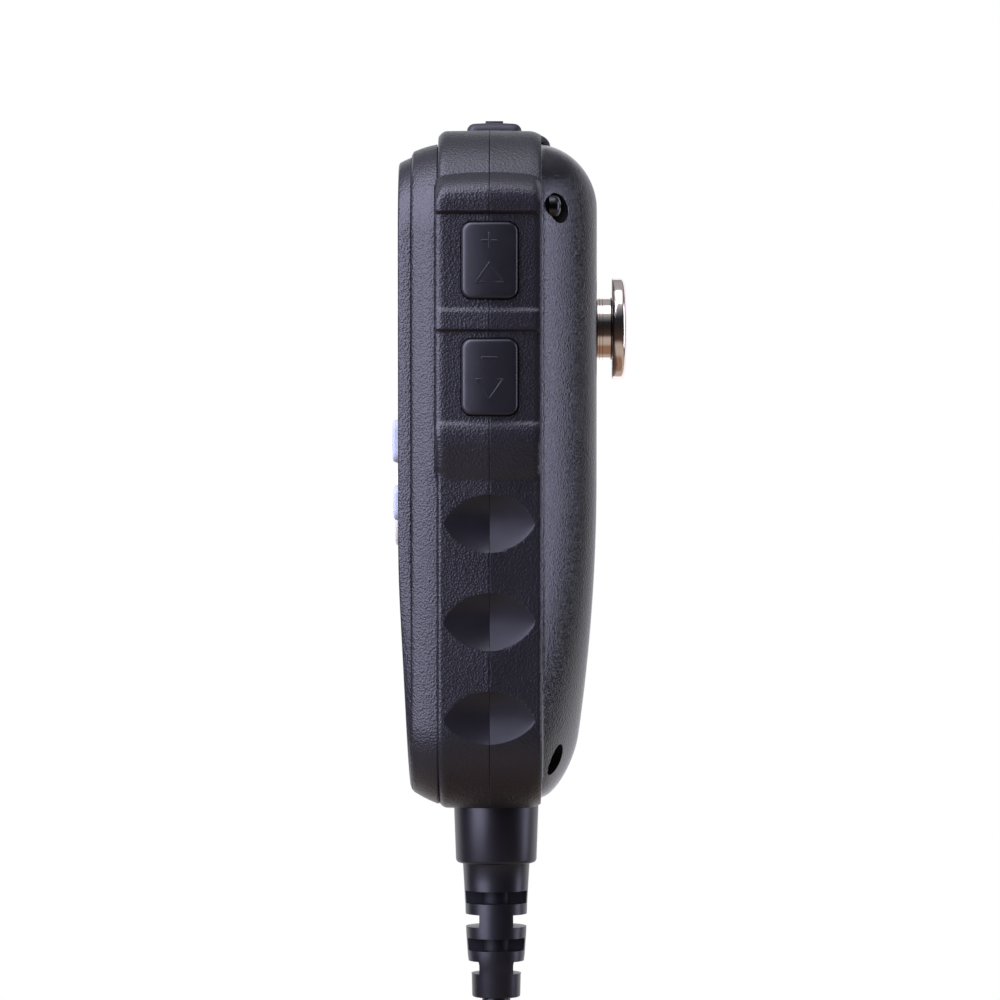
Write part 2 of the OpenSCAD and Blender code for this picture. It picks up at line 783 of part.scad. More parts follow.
module front_panel() {
  color("#34343a")
    difference() {
      union() {
        loft([
          [3.95, 3.95, -0.8, y_seam, 1],
          [3.6, 3.6, -0.6, y_seam, 0.8],
          [3.3, 3.3, -0.4, y_seam, 0]
        ], to_face = true);
        loft([
          [seam_inset + 2.5, seam_inset + 2.5, seam_shift, y_seam - 0.05, 0],
          [seam_inset + 2.5, seam_inset + 2.5, seam_shift, y_plug, 0]
        ]);
      }
      translate([0, 0, window_z]) {
        prism_y(y_face - 1, y_plug + 1, window_w + 0.2, window_h + 0.2, 1.5);
        prism_y(y_face + 1.6, y_plug + 1, flange_full_w + 0.2, flange_full_h + 0.2, 1.5);
      }
      for (i = [-1:1])
        translate([i * row_pitch, 0, row_z])
          prism_y(y_face - 1, y_plug + 1, row_key_w + 2 * key_gap, row_key_h + 2 * key_gap, 1.7);
      for (side = [-1, 1])
        translate([side * row_pitch, 0, side_key_z])
          prism_y(y_face - 1, y_plug + 1, side_key_w + 2 * key_gap, side_key_h + 2 * key_gap, 1.7);
      translate([0, 0, ring_z])
        tube_y(ring_d / 2 + ring_gap, y_face - 1, y_plug + 1, $fn = 64);
      for (i = [0:slot_count - 1])
        let (z = (i - (slot_count - 1) / 2) * slot_pitch,
             l = 2 * sqrt(pow(speaker_hole_r - 1.6, 2) - z * z))
        translate([0, 0, speaker_z + z])
          prism_y(y_face - 1, y_plug + 1, l, slot_h, slot_h / 2 - 0.01);
      translate([mic_x, 0, mic_z])
        tube_y(0.9, y_face - 1, y_plug + 1);
      translate([0, 0, status_z])
        tube_y(status_r + 0.15, y_face - 1, y_plug + 1);
    }
}
slot_pitch = 3.7;
ring_gap = 0.4;

module display_window() {
  color("#20262b")
    translate([0, 0, window_z]) {
      prism_y(y_face + 0.1, y_face + 1.8, window_w, window_h, 1.4);
      prism_y(y_face + 1.65, y_face + 2.6, flange_full_w, flange_full_h, 1.4);
    }
}

module display_glass() {
  color("#7e8a78")
    translate([-glass_w / 2, y_recess + 0.3, window_z - glass_h / 2])
      cube([glass_w, y_board - y_recess - 1.8, glass_h]);
}

module display_frame() {
  color("#d8d8d2")
    translate([-glass_w / 2 - 0.2, y_board - 1.5, window_z - glass_h / 2 - 0.2])
      cube([glass_w + 0.4, 1.5, glass_h + 0.4]);
}

module status_light() {
  color("#cfe3d6")
    translate([0, 0, status_z]) {
      tube_y(status_r, y_face - 0.05, y_board - 0.7);
      tube_y(status_r + 0.5, y_cav + 0.2, y_board - 0.7);
    }
}

module main_board() {
  color("#1f6b45")
    difference() {
      translate([-board_half_w, y_board, board_low])
        cube([2 * board_half_w, board_t, board_top - board_low]);
      at_board_posts()
        tube_y(board_screw_d / 2 + 0.15, y_board - 1, y_board_back + 1);
    }
}

// Chips on the main board, each with its low corner as [x, z]
chip_main = 14;
chip_main_z = 4;
chip_memory = [6, 8];
chip_memory_at = [-16, 8];
chip_power = [7, 10];
chip_power_at = [10, -12];
chip_audio = 9;
chip_audio_at = [-15, -14];
chip_t = 1.4;
led_w = 2.6;

module chip(at, w, h, t) {
  translate([at[0], y_board_back, at[1]])
    cube([w, t, h]);
}

module board_chips() {
  color("#26282b") {
    chip([-chip_main / 2, chip_main_z], chip_main, chip_main, chip_t);
    chip(chip_memory_at, chip_memory[0], chip_memory[1], chip_t - 0.2);
    chip(chip_power_at, chip_power[0], chip_power[1], chip_t + 0.8);
    chip(chip_audio_at, chip_audio, chip_audio, chip_t + 0.1);
    translate([-led_w / 2, y_board - 0.5, status_z - led_w / 2])
      cube([led_w, 0.5, led_w]);
  }
}

module board_screws() {
  color("#9a9ca1")
    at_board_posts() {
      tube_y(board_screw_d / 2, y_cav + 0.6, y_board_back + 0.3);
      tube_y(1.8, y_board_back, y_board_back + 1.2);
    }
}

connector_h = 6;
connector_w = 11;
connector_d = 4;
connector_z = board_low + 1.6;

module board_connector() {
  color("#e6e2d4")
    translate([-connector_w / 2, y_board_back, connector_z])
      cube([connector_w, connector_d, connector_h]);
}

module keypad_mat() {
  low = post_z[1] + board_post_r + 0.4;
  color("#d9dfe4")
    difference() {
      translate([-keypad_w / 2, y_mat, low])
        cube([keypad_w, mat_t, keypad_top - low]);
      for (i = [-1:1])
        translate([i * row_pitch, 0, row_z])
          tube_y(stem_r + 0.3, y_mat - 1, y_board + 1);
      for (side = [-1, 1])
        translate([side * row_pitch, 0, side_key_z])
          tube_y(stem_r + 0.3, y_mat - 1, y_board + 1);
      translate([0, 0, side_key_z])
        tube_y(select_d / 2 + 0.35, y_mat - 1, y_board + 1);
    }
}
stem_r = 2;
key_front_flange = y_plug + flange_gap;

// Front key: rounded cap, flange behind the panel and a stem that reaches for its pad
module front_key(w, h, proud) {
  top = y_face - proud;
  hull() {
    prism_y(top, top + 0.1, w - 1.2, h - 1.2, 1);
    prism_y(top + 0.45, key_front_flange + 0.1, w, h, 1.5);
  }
  translate([-w / 2 - flange_w, key_front_flange, 0.5 - h / 2])
    cube([w + 2 * flange_w, flange_t, h - 1]);
  tube_y(stem_r, key_front_flange + flange_t - 0.2, y_board - pad_gap);
}

module row_key_left() {
  color("#d5e2ec")
    translate([-row_pitch, 0, row_z])
      front_key(row_key_w, row_key_h, row_key_proud);
}

module row_key_middle() {
  color("#d5e2ec")
    translate([0, 0, row_z])
      front_key(row_key_w, row_key_h, row_key_proud);
}

module row_key_right() {
  color("#d5e2ec")
    translate([row_pitch, 0, row_z])
      front_key(row_key_w, row_key_h, row_key_proud);
}

module side_key_left() {
  color("#d5e2ec")
    translate([-row_pitch, 0, side_key_z])
      front_key(side_key_w, side_key_h, side_key_proud);
}

module side_key_right() {
  color("#d5e2ec")
    translate([row_pitch, 0, side_key_z])
      front_key(side_key_w, side_key_h, side_key_proud);
}
side_key_proud = 0.9;
ring_back = y_mat - 0.75;
trunnion_r = 0.5;
ring_axis_y = ring_back - trunnion_r;

module rocker_ring() {
  r = ring_d / 2;
  front = y_face - ring_proud;
  color("#e4dfe4")
    translate([0, 0, ring_z])
      difference() {
        union() {
          rotate([-90, 0, 0])
            rotate_extrude($fn = 96)
              polygon([
                [ring_in_r, ring_back], [ring_in_r, front + 0.3], [ring_in_r + 0.3, front],
                [r - 0.5, front], [r, front + 0.4], [r, ring_back]
              ]);
          // Trunnions that it tilts on, behind the panel
          for (side = [-1, 1])
            translate([side * (r + 0.2) - 0.7, ring_axis_y, 0])
              rotate([0, 90, 0])
                cylinder(r = trunnion_r, h = 1.4, $fn = 48);
        }
        // Bore for the select key, which sits a little above the middle of the ring
        translate([0, 0, side_key_z - ring_z])
          tube_y(select_d / 2 + key_gap + 0.1, y_face - 5, ring_back + 5, $fn = 64);
      }
}
ring_in_r = select_d / 2 + 0.6;

module select_key() {
  front = y_face - side_key_proud;
  color("#d5e2ec")
    translate([0, 0, side_key_z])
      rotate([-90, 0, 0])
        rotate_extrude($fn = 96)
          polygon([
            [0, front], [select_d / 2 - 0.8, front], [select_d / 2, front + 0.6],
            [select_d / 2, y_board - pad_gap], [0, y_board - pad_gap]
          ]);
}

// Volume key: cap, flange under the wall and a stem, in the frame of on_band()
key_lip = 2 * flange_w - 0.2;
module volume_key() {
  top = block_floor + volume_proud;
  hull() {
    prism_x(top - 0.1, top, volume_w - 0.7, volume_h - 0.7, 0.9);
    prism_x(key_flange - 0.1, top - 0.3, volume_w, volume_h, 1);
  }
  prism_x(key_flange - flange_t, key_flange, volume_w + key_lip, volume_h + key_lip, 1.1);
  translate([volume_stem, 0, 0])
    rotate([0, 90, 0])
      cylinder(r = stem_r, h = key_flange - flange_t - volume_stem + 0.2);
}

module volume_up_key() {
  color("#2f2f34")
    on_band(1)
      translate([0, 0, volume_up_z])
        volume_key();
}

module volume_down_key() {
  color("#2f2f34")
    on_band(1)
      translate([0, 0, volume_down_z])
        volume_key();
}

module volume_board() {
  color("#1f6b45")
    on_band(1)
      translate([volume_board_x - small_board_t, -small_board_w / 2, volume_board_z[0]])
        cube([small_board_t, small_board_w, volume_board_z[1] - volume_board_z[0]]);
}

module top_key() {
  top = z_top + top_key_proud;
  hull() {
    prism_z(top - 0.1, top, top_key_w - 1.6, top_key_d - 1.6, 1.2);
    prism_z(top_flange - 0.1, top - 0.5, top_key_w, top_key_d, 1.2);
  }
  prism_z(top_flange - flange_t, top_flange, top_key_w + key_lip - 0.6, top_key_d + key_lip, 1.2);
  translate([0, 0, top_stem])
    cylinder(r = stem_r, h = top_flange - flange_t - top_stem + 0.2);
  // Raised bar that the finger finds
  translate([-2.4, -1.4, top - 0.1])
    cube([4.8, 2.8, 0.5]);
}

module channel_up_key() {
  color("#2f2f34")
    translate([top_key_x, top_key_y, 0])
      top_key();
}

module channel_down_key() {
  color("#2f2f34")
    translate([-top_key_x, top_key_y, 0])
      top_key();
}

module top_board() {
  color("#1f6b45")
    translate([-top_board_w / 2, top_key_y - small_board_w / 2, top_board_z - small_board_t])
      cube([top_board_w, small_board_w, small_board_t]);
}

// Push-to-talk bar: cap, retaining flange at the top, barrel on the hinge pin and a nub for the switch
module ptt_bar() {
  top = block_ledge + ptt_proud;
  color("#2f2f34")
    on_band(-1)
      difference() {
        union() {
          translate([0, 0, ptt_z])
            hull() {
              prism_x(top - 0.1, top, ptt_w - 2, ptt_h - 3, 1.6);
              prism_x(ptt_inner - flange_t, top - 0.9, ptt_w, ptt_h, 1.2);
            }
          translate([ptt_inner - flange_t, 1.5 - ptt_w / 2, ptt_top - 2])
            cube([flange_t, ptt_w - 3, 3.2]);
          translate([ptt_inner - flange_t - ptt_nub_l, 0, ptt_nub_z])
            rotate([0, 90, 0])
              cylinder(r = 1.5, h = ptt_nub_l + 0.2);
          translate([ptt_pin_x, 0, ptt_pin_z])
            tube_y(2, -barrel_l / 2, barrel_l / 2);
          translate([ptt_pin_x, -barrel_l / 2, ptt_pin_z - 2])
            cube([ptt_inner - ptt_pin_x, barrel_l, 4]);
        }
        translate([ptt_pin_x, 0, ptt_pin_z])
          tube_y(ptt_pin_d / 2 + pin_clear, -barrel_l, barrel_l);
      }
}

module ptt_pin() {
  l = barrel_l + 2 * lug_gap + 2 * lug_l - 1;
  color("#b0b2b6")
    on_band(-1)
      translate([ptt_pin_x, 0, ptt_pin_z])
        tube_y(ptt_pin_d / 2, -l / 2, l / 2);
}

module ptt_switch() {
  color("#303236")
    on_band(-1)
      translate([ptt_board_x, -3, ptt_nub_z - 3])
        cube([ptt_switch_h - 0.6, 6, 6]);
  color("#c8ab4a")
    on_band(-1)
      translate([ptt_switch_x - 0.65, 0, ptt_nub_z])
        rotate([0, 90, 0])
          cylinder(r = 1.6, h = 0.65);
}

module ptt_board() {
  color("#1f6b45")
    on_band(-1)
      translate([ptt_board_x - small_board_t, -small_board_w / 2, ptt_board_z[0]])
        cube([small_board_t, small_board_w, ptt_board_z[1] - ptt_board_z[0]]);
}

// Loudspeaker, turned about the Y axis
magnet_t = 4;
module at_speaker() {
  translate([0, y_cav, speaker_z])
    rotate([-90, 0, 0])
      children();
}

module speaker_frame() {
  r = speaker_d / 2;
  back = speaker_depth - magnet_t;
  color("#55575c")
    at_speaker()
      rotate_extrude($fn = 96)
        polygon([
          [r - 1.2, 0], [r, 0], [r, 1.2], [magnet_d / 2 + 1, back],
          [magnet_d / 2 - 0.6, back], [r - 1.2, 1]
        ]);
}

module speaker_cone() {
  r = speaker_d / 2 - 1.7;
  back = speaker_depth - magnet_t;
  color("#2a2a2c")
    at_speaker()
      rotate_extrude($fn = 96)
        polygon([[0, back - 1.6], [4, back - 2.1], [r, 0.3], [r, 0.9], [4.2, back - 1.4], [0, back - 0.8]]);
}

module speaker_magnet() {
  color("#77797e")
    at_speaker()
      translate([0, 0, speaker_depth - magnet_t])
        cylinder(r = magnet_d / 2, h = magnet_t, $fn = 96);
}

module grille_cloth() {
  color("#1b1b1d")
    translate([0, 0, speaker_z])
      tube_y(speaker_hole_r - 0.3, y_plug, y_plug + 0.3, $fn = 96);
}

module mic_capsule() {
  color("#a9abaf")
    translate([mic_x, 0, mic_z])
      tube_y(mic_d / 2, y_cav + 0.5, y_cav + 3);
}

module mic_cup() {
  color("#242427")
    translate([mic_x, 0, mic_z])
      difference() {
        tube_y(mic_cup_r, y_cav, y_cav + 3.6);
        tube_y(mic_d / 2 + 0.05, y_cav + 0.5, y_cav + 3.05);
        tube_y(mic_d / 2 - 0.6, y_cav - 1, y_cav + 1);
        tube_y(1.2, y_cav + 2, y_cav + 5);
      }
}

module case_screws() {
  color("#1d1d20")
    at_screws()
      difference() {
        union() {
          rotate([-90, 0, 0])
            rotate_extrude($fn = 48)
              polygon([
                [0, 0], [case_screw_head_d / 2, 0], [case_screw_head_d / 2, 0.5 * screw_head_h],
                [0.7 * case_screw_head_d / 2, 0.9 * screw_head_h], [0, screw_head_h]
              ]);
          tube_y(case_screw_d / 2, -screw_l, 0.2);
        }
        for (a = [0, 90])
          rotate([0, a, 0])
            translate([-1.1, screw_head_h - 0.9, -0.25])
              cube([2.2, 2, 0.5]);
      }
}

// Strain-relief boot: collar, tapered body, slots in turn across and along
boot_slot = 2;
boot_slot_pitch = 3.75;
boot_slot_z = z_bot - boot_collar_l - 5.4;

module cable_boot() {
  r = boot_collar_d / 2;
  color("#26262a")
    translate([0, boot_y, 0])
      difference() {
        rotate_extrude($fn = 96)
          polygon([
            [cord_d / 2 + cord_fit, boot_tip_z], [boot_tip_d / 2, boot_tip_z],
            [boot_tip_d / 2 + 0.15, boot_tip_z + 3.9], [boot_d / 2, z_bot - boot_collar_l],
            [r - 0.9, z_bot - boot_collar_l], [r - 0.3, z_bot - boot_collar_l + 0.7],
            [r, z_bot], [boot_neck_r, z_bot], [boot_neck_r, boot_flange_z],
            [boot_flange_r, boot_flange_z], [boot_flange_r, boot_top_z],
            [cord_d / 2 + cord_fit, boot_top_z]
          ]);
        for (i = [0:3], side = [0, 180])
          translate([0, 0, boot_slot_z - i * boot_slot_pitch])
            rotate([0, 0, side + (i % 2 == 0 ? 0 : 90)])
              translate([boot_strut_w / 2, -10, -boot_slot / 2])
                cube([10, 20, boot_slot]);
        // Flat on the flange, beside the floor of the rear shell
        translate([-10, y_br - wall - 0.15 - boot_y, z_bot + 0.3])
          cube([20, 10, 8]);
      }
}

// Cord pieces are tubes swept along points; a frame that never rolls keeps each ring square to its line
function unit(v) = v / norm(v);
function along(p, i) = unit(p[min(i + 1, len(p) - 1)] - p[max(i - 1, 0)]);
function carry(n, t) = unit(n - (n * t) * t);
function frames(p, n, i = 0) =
  i == len(p) ? [] : let (m = carry(n, along(p, i))) concat([m], frames(p, m, i + 1));

module sweep(p, r, sides, first) {
  f = frames(p, first);
  k = len(p);
  points = [
    for (i = [0:k - 1])
      let (t = along(p, i), b = cross(t, f[i]))
      for (j = [0:sides - 1])
        p[i] + r * (cos(360 * j / sides) * f[i] + sin(360 * j / sides) * b)
  ];
  skin = [
    for (i = [0:k - 2])
      for (j = [0:sides - 1])
        let (a = i * sides + j, b = i * sides + (j + 1) % sides)
        each [[a, b + sides, b], [a, a + sides, b + sides]]
  ];
  ends = concat(
    [for (j = [1:sides - 2]) [0, j, j + 1]],
    [for (j = [1:sides - 2]) [(k - 1) * sides, (k - 1) * sides + j + 1, (k - 1) * sides + j]]
  );
  polyhedron(points = points, faces = concat(skin, ends), convexity = 10);
}

// Smooth line through hand-set points
function spline_point(a, b, c, d, t) =
  0.5 * (2 * b + (c - a) * t + (2 * a - 5 * b + 4 * c - d) * t * t + (3 * b - a - 3 * c + d) * t * t * t);
function spline(p, steps) = concat(
  [for (i = [0:len(p) - 2], k = [0:steps - 1])
    spline_point(p[max(i - 1, 0)], p[i], p[i + 1], p[min(i + 2, len(p) - 1)], k / steps)],
  [p[len(p) - 1]]
);

// Cable inside the case, as [depth from the cord line, height]: it passes behind the loudspeaker's magnet
// and turns forward into the connector
cable_gap = 0.8;
cable_bend = 5;
stop_h = 2;
cable_back = y_cav + speaker_depth + cable_gap + cord_d / 2 - boot_y;
magnet_low = speaker_z - magnet_d / 2;
entry_y = y_board_back + connector_d - boot_y;
entry_z = connector_z + connector_h / 2;
turn_y = cable_back - cable_bend;
inner_route = [
  [0, boot_tip_z], [0, z_bot - boot_collar_l], [0, z_bot + 2], [0, boot_top_z + 0.3 * stop_h],
  [0.06 * cable_back, boot_top_z + stop_h + 1.1], [0.56 * cable_back, magnet_low - 4],
  [cable_back, magnet_low - 0.5], [cable_back, magnet_low + 5],
  [cable_back, entry_z - cable_bend - 4], [cable_back, entry_z - cable_bend],
  [cable_back - 0.293 * cable_bend, entry_z - 0.293 * cable_bend],
  [turn_y, entry_z], [(turn_y + entry_y) / 2, entry_z], [entry_y, entry_z]
];

module inner_cable() {
  color("#1c1c1f")
    translate([0, boot_y, 0])
      sweep(spline([for (q = inner_route) [0, q[0], q[1]]], 3), cord_d / 2, 10, [1, 0, 0]);
}

module cord_stop() {
  color("#8a8c90")
    translate([0, boot_y, boot_top_z])
      difference() {
        cylinder(r = cord_d / 2 + 1.2, h = stop_h);
        translate([0, 0, -1])
          cylinder(r = cord_d / 2 + 0.05, h = stop_h + 2);
      }
}

// Curly cord: straight ends on its axis, one wider turn out to the curls and one back in
lead_l = 1;
curl_end = cord_d + 0.4;
curl_r = (curl_d - cord_d) / 2;
curl_rings = 8;
run_turns = 0.8;
run_drop = 7;
curl_turns = curl_count + 2 * run_turns;
curl_h = curl_pitch * curl_turns + 2 * run_drop;
lead_low = boot_tip_z - lead_l;
curl_top = lead_low - curl_end;
curl_low = curl_top - curl_h;
function run_in(t) = min(1, t / run_turns);
function reach(x) = x * x * (3 - 2 * x);
function fall(x) = x * (2 - x);
function curl_point(t) =
  let (a = run_in(t), b = run_in(curl_turns - t), q = curl_r * reach(a) * reach(b))
  [q * cos(360 * t), q * sin(360 * t),
   curl_top - curl_pitch * t - run_drop * fall(a) - run_drop * (1 - fall(b))];
curl_steps = round(curl_rings * curl_turns);
curl_points = concat(
  [[0, 0, lead_low], [0, 0, curl_top + curl_end * 0.4]],
  [for (i = [0:curl_steps]) curl_point(curl_turns * i / curl_steps)],
  [[0, 0, curl_low - curl_end * 0.6], [0, 0, curl_low - curl_end]]
);
tail_top = curl_low - curl_end;
tail_low = tail_top - 1;

// Least gap between parts of the curly cord that are more than half a curl apart
curl_gap = min([
  for (i = [0:len(curl_points) - 1])
    for (j = [i + curl_rings / 2 + 1:1:min(i + 2 * curl_rings, len(curl_points) - 1)])
      norm(curl_points[i] - curl_points[j])
]) - cord_d;
echo(str("curly cord: least gap to itself ", curl_gap, " mm"));

module cord_lead() {
  color("#1c1c1f")
    translate([0, boot_y, lead_low])
      cylinder(r = cord_d / 2, h = lead_l);
}

module curly_cord() {
  color("#1c1c1f")
    translate([0, boot_y, 0])
      sweep(curl_points, cord_d / 2, 6, [1, 0, 0]);
}

module cord_tail() {
  color("#1c1c1f")
    translate([0, boot_y, tail_low - 6])
      cylinder(r = cord_d / 2, h = tail_top - tail_low + 6);
}

// Plug, hanging below the cord's tail
sleeve_l = 7;
plug_top = tail_low - sleeve_l + 2;
plug_shell_l = 22;
flange_z = plug_top - 12;
plug_flange_r = plug_shell_d / 2 + 0.9;
plug_flange_t = 1.8;
insert_r = plug_shell_d / 2 - 0.9;
insert_l = 7;
ring_clear = 0.2;
ring_lip_t = 2;
plug_low = plug_top - plug_shell_l;
pin_r = 0.75;

module plug_sleeve() {
  color("#202023")
    translate([0, boot_y, plug_top - 2])
      difference() {
        cylinder(r1 = 4.6, r2 = 3.6, h = sleeve_l);
        translate([0, 0, -1])
          cylinder(r = cord_d / 2 + cord_fit, h = sleeve_l + 2);
      }
}

module plug_shell() {
  r = plug_shell_d / 2;
  color("#b9bbc0")
    translate([0, boot_y, 0])
      rotate_extrude($fn = 96)
        polygon([
          [4.75, plug_top], [r - 0.8, plug_top], [r, plug_top - 0.8], [r, flange_z],
          [plug_flange_r, flange_z], [plug_flange_r, flange_z - plug_flange_t],
          [r, flange_z - plug_flange_t], [r, plug_low], [insert_r + 0.05, plug_low],
          [insert_r + 0.05, plug_low + insert_l + 0.1], [4.75, plug_low + insert_l + 0.1]
        ]);
}

module plug_insert() {
  color("#3a2f2a")
    translate([0, boot_y, plug_low])
      difference() {
        cylinder(r = insert_r, h = insert_l, $fn = 96);
        at_pins()
          translate([0, 0, -1])
            cylinder(r = pin_r + 0.03, h = insert_l + 2);
      }
}

module at_pins() {
  for (i = [0:pin_count - 1])
    rotate([0, 0, 360 * i / pin_count])
      translate([3.6, 0, 0])
        children();
}

module plug_pins() {
  color("#c9b27a")
    translate([0, boot_y, plug_low])
      at_pins()
        difference() {
          translate([0, 0, 0.3])
            cylinder(r = pin_r, h = insert_l + 1.5);
          translate([0, 0, -1])
            cylinder(r = pin_r - 0.3, h = 5);
        }
}

module plug_ring() {
  r = plug_ring_d / 2;
  top = flange_z + 0.3 + ring_lip_t;
  low = top - plug_ring_l;
  grips = 20;
  color("#a9abb0")
    translate([0, boot_y, 0])
      difference() {
        rotate_extrude($fn = 96)
          polygon([
            [plug_shell_d / 2 + ring_clear, top], [r - 0.6, top], [r, top - 0.6], [r, low + 0.5],
            [r - 0.5, low], [plug_flange_r + 0.3, low], [plug_flange_r + 0.3, flange_z + 0.3],
            [plug_shell_d / 2 + ring_clear, flange_z + 0.3]
          ]);
        for (i = [0:grips - 1])
          rotate([0, 0, 360 * i / grips])
            translate([r + 0.35, 0, low + 2])
              cylinder(r = 0.7, h = plug_ring_l - 4);
      }
}

front_shell();
rear_shell();
front_panel();
display_window();
display_glass();
display_frame();
status_light();
main_board();
board_chips();
board_screws();
board_connector();
keypad_mat();
row_key_left();
row_key_middle();
row_key_right();
side_key_left();
side_key_right();
rocker_ring();
select_key();
volume_up_key();
volume_down_key();
volume_board();
channel_up_key();
channel_down_key();
top_board();
ptt_bar();
ptt_pin();
ptt_switch();
ptt_board();
speaker_frame();
speaker_cone();
speaker_magnet();
grille_cloth();
mic_capsule();
mic_cup();
hang_stud();
stud_washer();
stud_screw();
case_screws();
cable_boot();
inner_cable();
cord_stop();
cord_lead();
curly_cord();
cord_tail();
plug_sleeve();
plug_shell();
plug_insert();
plug_pins();
plug_ring();
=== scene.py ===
"""Looks of the hand microphone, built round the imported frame. Sizes are in millimetres until they reach a mesh."""
import math

import bpy
import numpy as np
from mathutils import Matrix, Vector


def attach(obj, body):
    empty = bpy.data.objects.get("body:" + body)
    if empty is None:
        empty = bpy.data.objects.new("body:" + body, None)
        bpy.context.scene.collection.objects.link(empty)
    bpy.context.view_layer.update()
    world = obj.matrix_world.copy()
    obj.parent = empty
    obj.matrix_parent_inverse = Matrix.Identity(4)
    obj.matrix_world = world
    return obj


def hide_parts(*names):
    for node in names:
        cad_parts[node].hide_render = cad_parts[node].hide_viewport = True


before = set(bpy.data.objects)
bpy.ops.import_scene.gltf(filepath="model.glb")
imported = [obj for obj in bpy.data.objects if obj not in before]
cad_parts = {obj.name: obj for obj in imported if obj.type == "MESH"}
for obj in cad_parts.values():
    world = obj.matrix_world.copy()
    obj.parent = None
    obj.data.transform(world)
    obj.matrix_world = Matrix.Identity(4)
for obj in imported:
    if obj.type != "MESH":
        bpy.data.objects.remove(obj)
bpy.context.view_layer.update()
MM = 0.001

# Case, as in the part's source
Z_TOP, Z_BOT = 30.0, -76.0
TOP_W, BOTTOM_W, CORNER_R = 58.0, 50.0, 15.0
Y_FACE, Y_SEAM, Y_PART, BAND_W = -31.0, -29.0, -16.8, 16.0
Y_BF, Y_BR = Y_PART - BAND_W / 2, Y_PART + BAND_W / 2
TOP_C = np.array([TOP_W / 2 - CORNER_R, Z_TOP - CORNER_R])
LOW_C = np.array([BOTTOM_W / 2 - CORNER_R, Z_BOT + CORNER_R])
SIDE_A = math.atan2(TOP_C[1] - LOW_C[1], TOP_C[0] - LOW_C[0]) - math.pi / 2
SIDE_N = np.array([math.cos(SIDE_A), math.sin(SIDE_A)])
SIDE_T = np.array([-SIDE_N[1], SIDE_N[0]])
SIDE_TOP, SIDE_LOW = TOP_C + CORNER_R * SIDE_N, LOW_C + CORNER_R * SIDE_N
SIDE_X0 = SIDE_LOW[0] + (SIDE_TOP[0] - SIDE_LOW[0]) * -SIDE_LOW[1] / (SIDE_TOP[1] - SIDE_LOW[1])
BACK_BEND_Z, BACK_BEND_R = -24.0, 287.0
FACE_BEND_Z, FACE_BEND_L, FACE_SLOPE = -33.0, 12.0, 0.052

# Keys and their places
VOLUME_Z, VOLUME_W, VOLUME_H = (9.4, -8.5), 8.7, 11.8
BLOCK_FLOOR, BLOCK_RISE = 1.0, 2.0
PTT_Z, PTT_W, PTT_H, PTT_TOP = -3.5, 10.4, 32.0, 3.3
TOP_KEY_X, TOP_KEY_Y, TOP_KEY_W, TOP_KEY_D = 7.2, -16.1, 12.0, 8.6
ROW_Z, ROW_PITCH, ROW_W, ROW_H = -18.2, 14.0, 12.5, 6.6
SIDE_KEY_Z, SIDE_KEY_W, SIDE_KEY_H = -27.8, 11.0, 5.5
RING_Z, RING_R, RING_BORE_R, SELECT_R = -28.6, 6.1, 3.17, 2.75
WINDOW_Z, WINDOW_W, WINDOW_H = 6.0, 38.0, 24.0
LIGHT_Z = WINDOW_Z + WINDOW_H / 2 + 3.8
SPEAKER_Z, SPEAKER_HOLE_R, SLOT_H, SLOT_PITCH, SLOTS = -53.5, 14.5, 1.4, 3.7, 7
MIC_AT = (17.5, -43.82)
SCREWS = [(24.85, 17.9, -9.7), (18.1, -67.7, -10.4)]
SCREW_MOUTHS, DOME_RISE = [(3.5, 4.7), (3.2, 4.8)], (2.1, 0.9)
BOOT_Y, BOOT_TIP_Z = -15.8, -106.8

# Camera at the photograph's place: square on to the right side, 0.7 m away
CAMERA_X, CAMERA_Y, CAMERA_Z = 700.0, -15.2, -27.4
VIEW_W, SENSOR_W = 160.0, 36.0
cam = bpy.data.objects.new("camera", bpy.data.cameras.new("camera"))
cam.data.sensor_width = SENSOR_W
cam.data.lens = SENSOR_W * CAMERA_X / VIEW_W
cam.data.clip_start, cam.data.clip_end = 0.01, 50.0
cam.location = (CAMERA_X * MM, CAMERA_Y * MM, CAMERA_Z * MM)
cam.rotation_euler = (math.pi / 2, 0.0, math.pi / 2)
bpy.context.scene.collection.objects.link(cam)
bpy.context.scene.camera = cam


# Small mesh helpers, and the angles in degrees over which an edge stays sharp
SMOOTH, CASE_SMOOTH, METAL_SMOOTH = 40.0, 28.0, 30.0


def add_mesh(name, points, faces, material=None, smooth=SMOOTH):
    """Object from points in millimetres; edges sharper than the angle stay sharp."""
    mesh = bpy.data.meshes.new(name)
    mesh.from_pydata((np.asarray(points, float) * MM).tolist(), [], [list(map(int, f)) for f in faces])
    mesh.validate()
    mesh.update()
    obj = bpy.data.objects.new(name, mesh)
    bpy.context.scene.collection.objects.link(obj)
    if material:
        mesh.materials.append(material)
    shade(obj, smooth)
    return obj


def shade(obj, angle):
    obj.data.polygons.foreach_set("use_smooth", [True] * len(obj.data.polygons))
    obj.data.set_sharp_from_angle(angle=math.radians(angle))


def grid_faces(rows, cols, close_rows=False):
    """Quads of a grid whose columns run round in a ring."""
    r = np.arange(rows if close_rows else rows - 1)[:, None]
    c = np.arange(cols)[None, :]
    r2, c2 = (r + 1) % rows, (c + 1) % cols
    quads = np.stack([r * cols + c, r2 * cols + c, r2 * cols + c2, r * cols + c2], -1)
    return quads.reshape(-1, 4).tolist()


